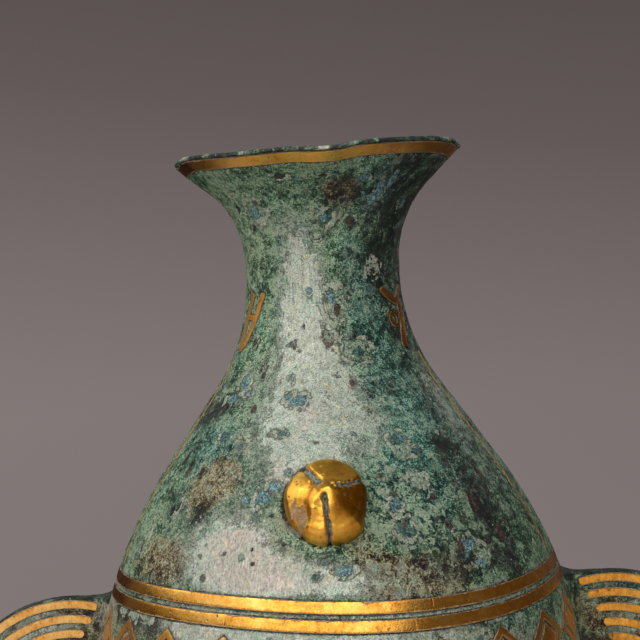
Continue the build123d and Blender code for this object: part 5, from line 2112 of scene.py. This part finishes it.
@dataclass
class Studio:
    """Floor and backdrop, soft lamps and the camera at the photograph's place."""

    camera_distance: float = 0.65
    camera_height: float = 0.2955
    camera_azimuth: float = math.radians(2.0)
    pitch: float = math.radians(2.42)
    yaw: float = math.radians(0.192)
    roll: float = math.radians(2.654)
    lens: float = 83.115
    floor_radius: float = 2.3
    sweep: float = 0.6
    wall_height: float = 2.6
    columns: int = 160
    sky: Colour = (0.92, 0.95, 1.0)
    sky_strength: float = 0.24
    softboxes: tuple[Lamp, ...] = (
        Lamp("key_softbox", -8.0, 34.0, 1.9, (2.7, 1.7), 28.0, (1.0, 0.975, 0.94)),
        Lamp("left_softbox", -80.0, 36.0, 1.9, (2.3, 1.5), 13.0, (1.0, 0.98, 0.95)),
        Lamp("rear_strip", 152.0, 22.0, 1.9, (0.25, 1.2), 1.4, (1.0, 0.98, 0.96)),
        Lamp("rear_fill", -160.0, 45.0, 2.0, (1.2, 0.8), 3.0),
    )

    def stage(self) -> None:
        """Builds the floor that sweeps up into a round backdrop."""
        bend = np.linspace(0.0, math.pi / 2, 24)
        rows = [(r, 0.0) for r in (0.0, 0.3, 0.8, 1.4, 1.9)]
        far = self.floor_radius + self.sweep
        rows += [(self.floor_radius + self.sweep * math.sin(t), self.sweep * (1 - math.cos(t)))
                 for t in bend]
        rows += [(far, z) for z in np.linspace(self.sweep, self.wall_height, 6)[1:]]
        store = MeshStore()
        store.add(turned(np.array(rows), self.columns), False, True)
        floor = store.build("studio_floor")
        floor.data.flip_normals()
        floor.data.materials.append(self.paper())

    def paper(self) -> Material:
        """Pale paper that turns warm grey where it sweeps up behind the object, with painted light on it:
        the grey is brighter low down and to the left, and reflections see a glow on the floor in front.
        """
        g = Graph("studio_paper")
        x, y, z = g.node("ShaderNodeSeparateXYZ", {0: g.home}).outputs
        far = g.math("SQRT", g.math("ADD", g.math("POWER", x, 2.0), g.math("POWER", y, 2.0)))
        back = g.step(far, 0.22, 0.5)
        fibre = g.noise(420.0, 4.0, 0.6)
        pale = g.ramp(fibre, (0.3, (0.66, 0.645, 0.63)), (0.7, (0.72, 0.705, 0.69)))
        # painted light on the backdrop: brighter low down and to the left, darker upwards and to the right
        lit = g.blend((z, -0.5), (x, -0.075), base=0.82, clamp=True)
        grey = g.ramp(lit, (0.0, (0.045, 0.034, 0.033)), (0.5, (0.12, 0.098, 0.095)),
                      (1.0, (0.262, 0.224, 0.217)))
        path = g.node("ShaderNodeLightPath")
        glossy = path.outputs["Is Glossy Ray"]
        seen = g.math("MAXIMUM", path.outputs["Is Camera Ray"],
                      g.math("MAXIMUM", glossy, path.outputs["Is Transmission Ray"]))
        # painted reflection light: for reflected rays the paper glows dimly, brighter far behind, and four
        # times as bright on the floor in front, where the gold's reflections look
        behind = g.step(y, 0.9, 2.3)
        before = g.times(g.step(z, 0.12, 0.0), g.step(y, 0.1, -0.5))
        level = g.blend((behind, 0.45), (before, 4.0), base=0.14)
        strength = g.math("MULTIPLY_ADD", glossy, g.math("SUBTRACT", level, 1.0), 1.0)
        glow = g.node("ShaderNodeEmission", {"Color": grey, "Strength": strength})
        g.finish(Base_Color=g.mix(back, pale, (0.25, 0.235, 0.23)), Roughness=0.85, Specular_IOR_Level=0.1)
        inputs = {0: g.times(seen, back), 1: g.shader.outputs[0], 2: glow.outputs[0]}
        blend = g.node("ShaderNodeMixShader", inputs)
        out = next(n for n in g.tree.nodes if n.type == "OUTPUT_MATERIAL")
        g.feed(out.inputs["Surface"], blend.outputs[0])
        return g.material

    def lamps(self) -> None:
        """Hangs the lamps and sets the world's soft light."""
        for lamp in self.softboxes:
            lamp.hang()
        world = bpy.data.worlds.new("studio_world")
        world.use_nodes = True
        light = world.node_tree.nodes["Background"]
        light.inputs["Color"].default_value = (*self.sky, 1.0)
        light.inputs["Strength"].default_value = self.sky_strength
        bpy.context.scene.world = world

    def camera(self) -> None:
        """Places the camera where the photograph was taken."""
        data = bpy.data.cameras.new("photo_camera")
        data.sensor_width, data.lens = 36.0, self.lens
        data.clip_start, data.clip_end = 0.05, 20.0
        made = bpy.data.objects.new("photo_camera", data)
        made.matrix_world = (
            Matrix.Rotation(self.camera_azimuth, 4, "Z")
            @ Matrix.Translation((0.0, -self.camera_distance, self.camera_height))
            @ Matrix.Rotation(self.yaw, 4, "Z")
            @ Matrix.Rotation(math.pi / 2 - self.pitch, 4, "X")
            @ Matrix.Rotation(-self.roll, 4, "Z")
        )
        bpy.context.scene.collection.objects.link(made)
        bpy.context.scene.camera = made

    def build(self) -> None:
        """Builds stage, lamps and camera."""
        self.stage()
        self.lamps()
        self.camera()
        bpy.context.scene.view_settings.view_transform = "Standard"


def main() -> None:
    """Builds the vessel piece by piece, then the studio round it."""
    logging.basicConfig(level=logging.INFO, format="%(name)s %(message)s")
    wall = Wall()
    VesselBody(wall).build(PatinaFinish("body_patina"))
    foot_patina = PatinaFinish("foot_patina", -0.04, 0.05, -0.1)
    FootRing(wall).build(foot_patina.material())
    handle_patina = PatinaFinish("handle_patina", -0.02, 0.05, -0.15).material()
    # lit and shaded copies of one stripe gold: the left handle's is paler and yellower, painted light, and
    # the right handle's darker, painted shade
    painted_light_stripe_gold = GoldFinish("left_stripe_gold", (0.97, 0.66, 0.24), (0.86, 0.46, 0.105), crust_share=0.04)
    painted_shade_stripe_gold = GoldFinish("right_stripe_gold", (0.9, 0.51, 0.095), (0.68, 0.3, 0.038), crust_share=0.08)
    stripe_gold = {Side.LEFT: painted_light_stripe_gold.material(), Side.RIGHT: painted_shade_stripe_gold.material()}
    for side in Side:
        handle = StrapHandle(wall, side)
        handle.build(handle_patina)
        for face in Face:
            handle.stripes(face, stripe_gold[side])
    GoldInlay(wall).build()
    # the boss's shade colour is painted shade for its right lobe
    boss_gold = GoldFinish("boss_gold_sheet", (0.96, 0.55, 0.085), (0.86, 0.39, 0.045),
                           shade_paint=(0.27, 0.092, 0.006), crust_share=-0.1, roughness=0.32).material()
    rough_bronze = CoreFinish("inner_bronze_rough").material()
    boss = Boss(wall)
    for face in Face:
        boss.cap(face, boss_gold)
        boss.stud(face, rough_bronze)
    InnerPieces().dress(rough_bronze)
    Studio().build()


if __name__ == "__main__":
    main()
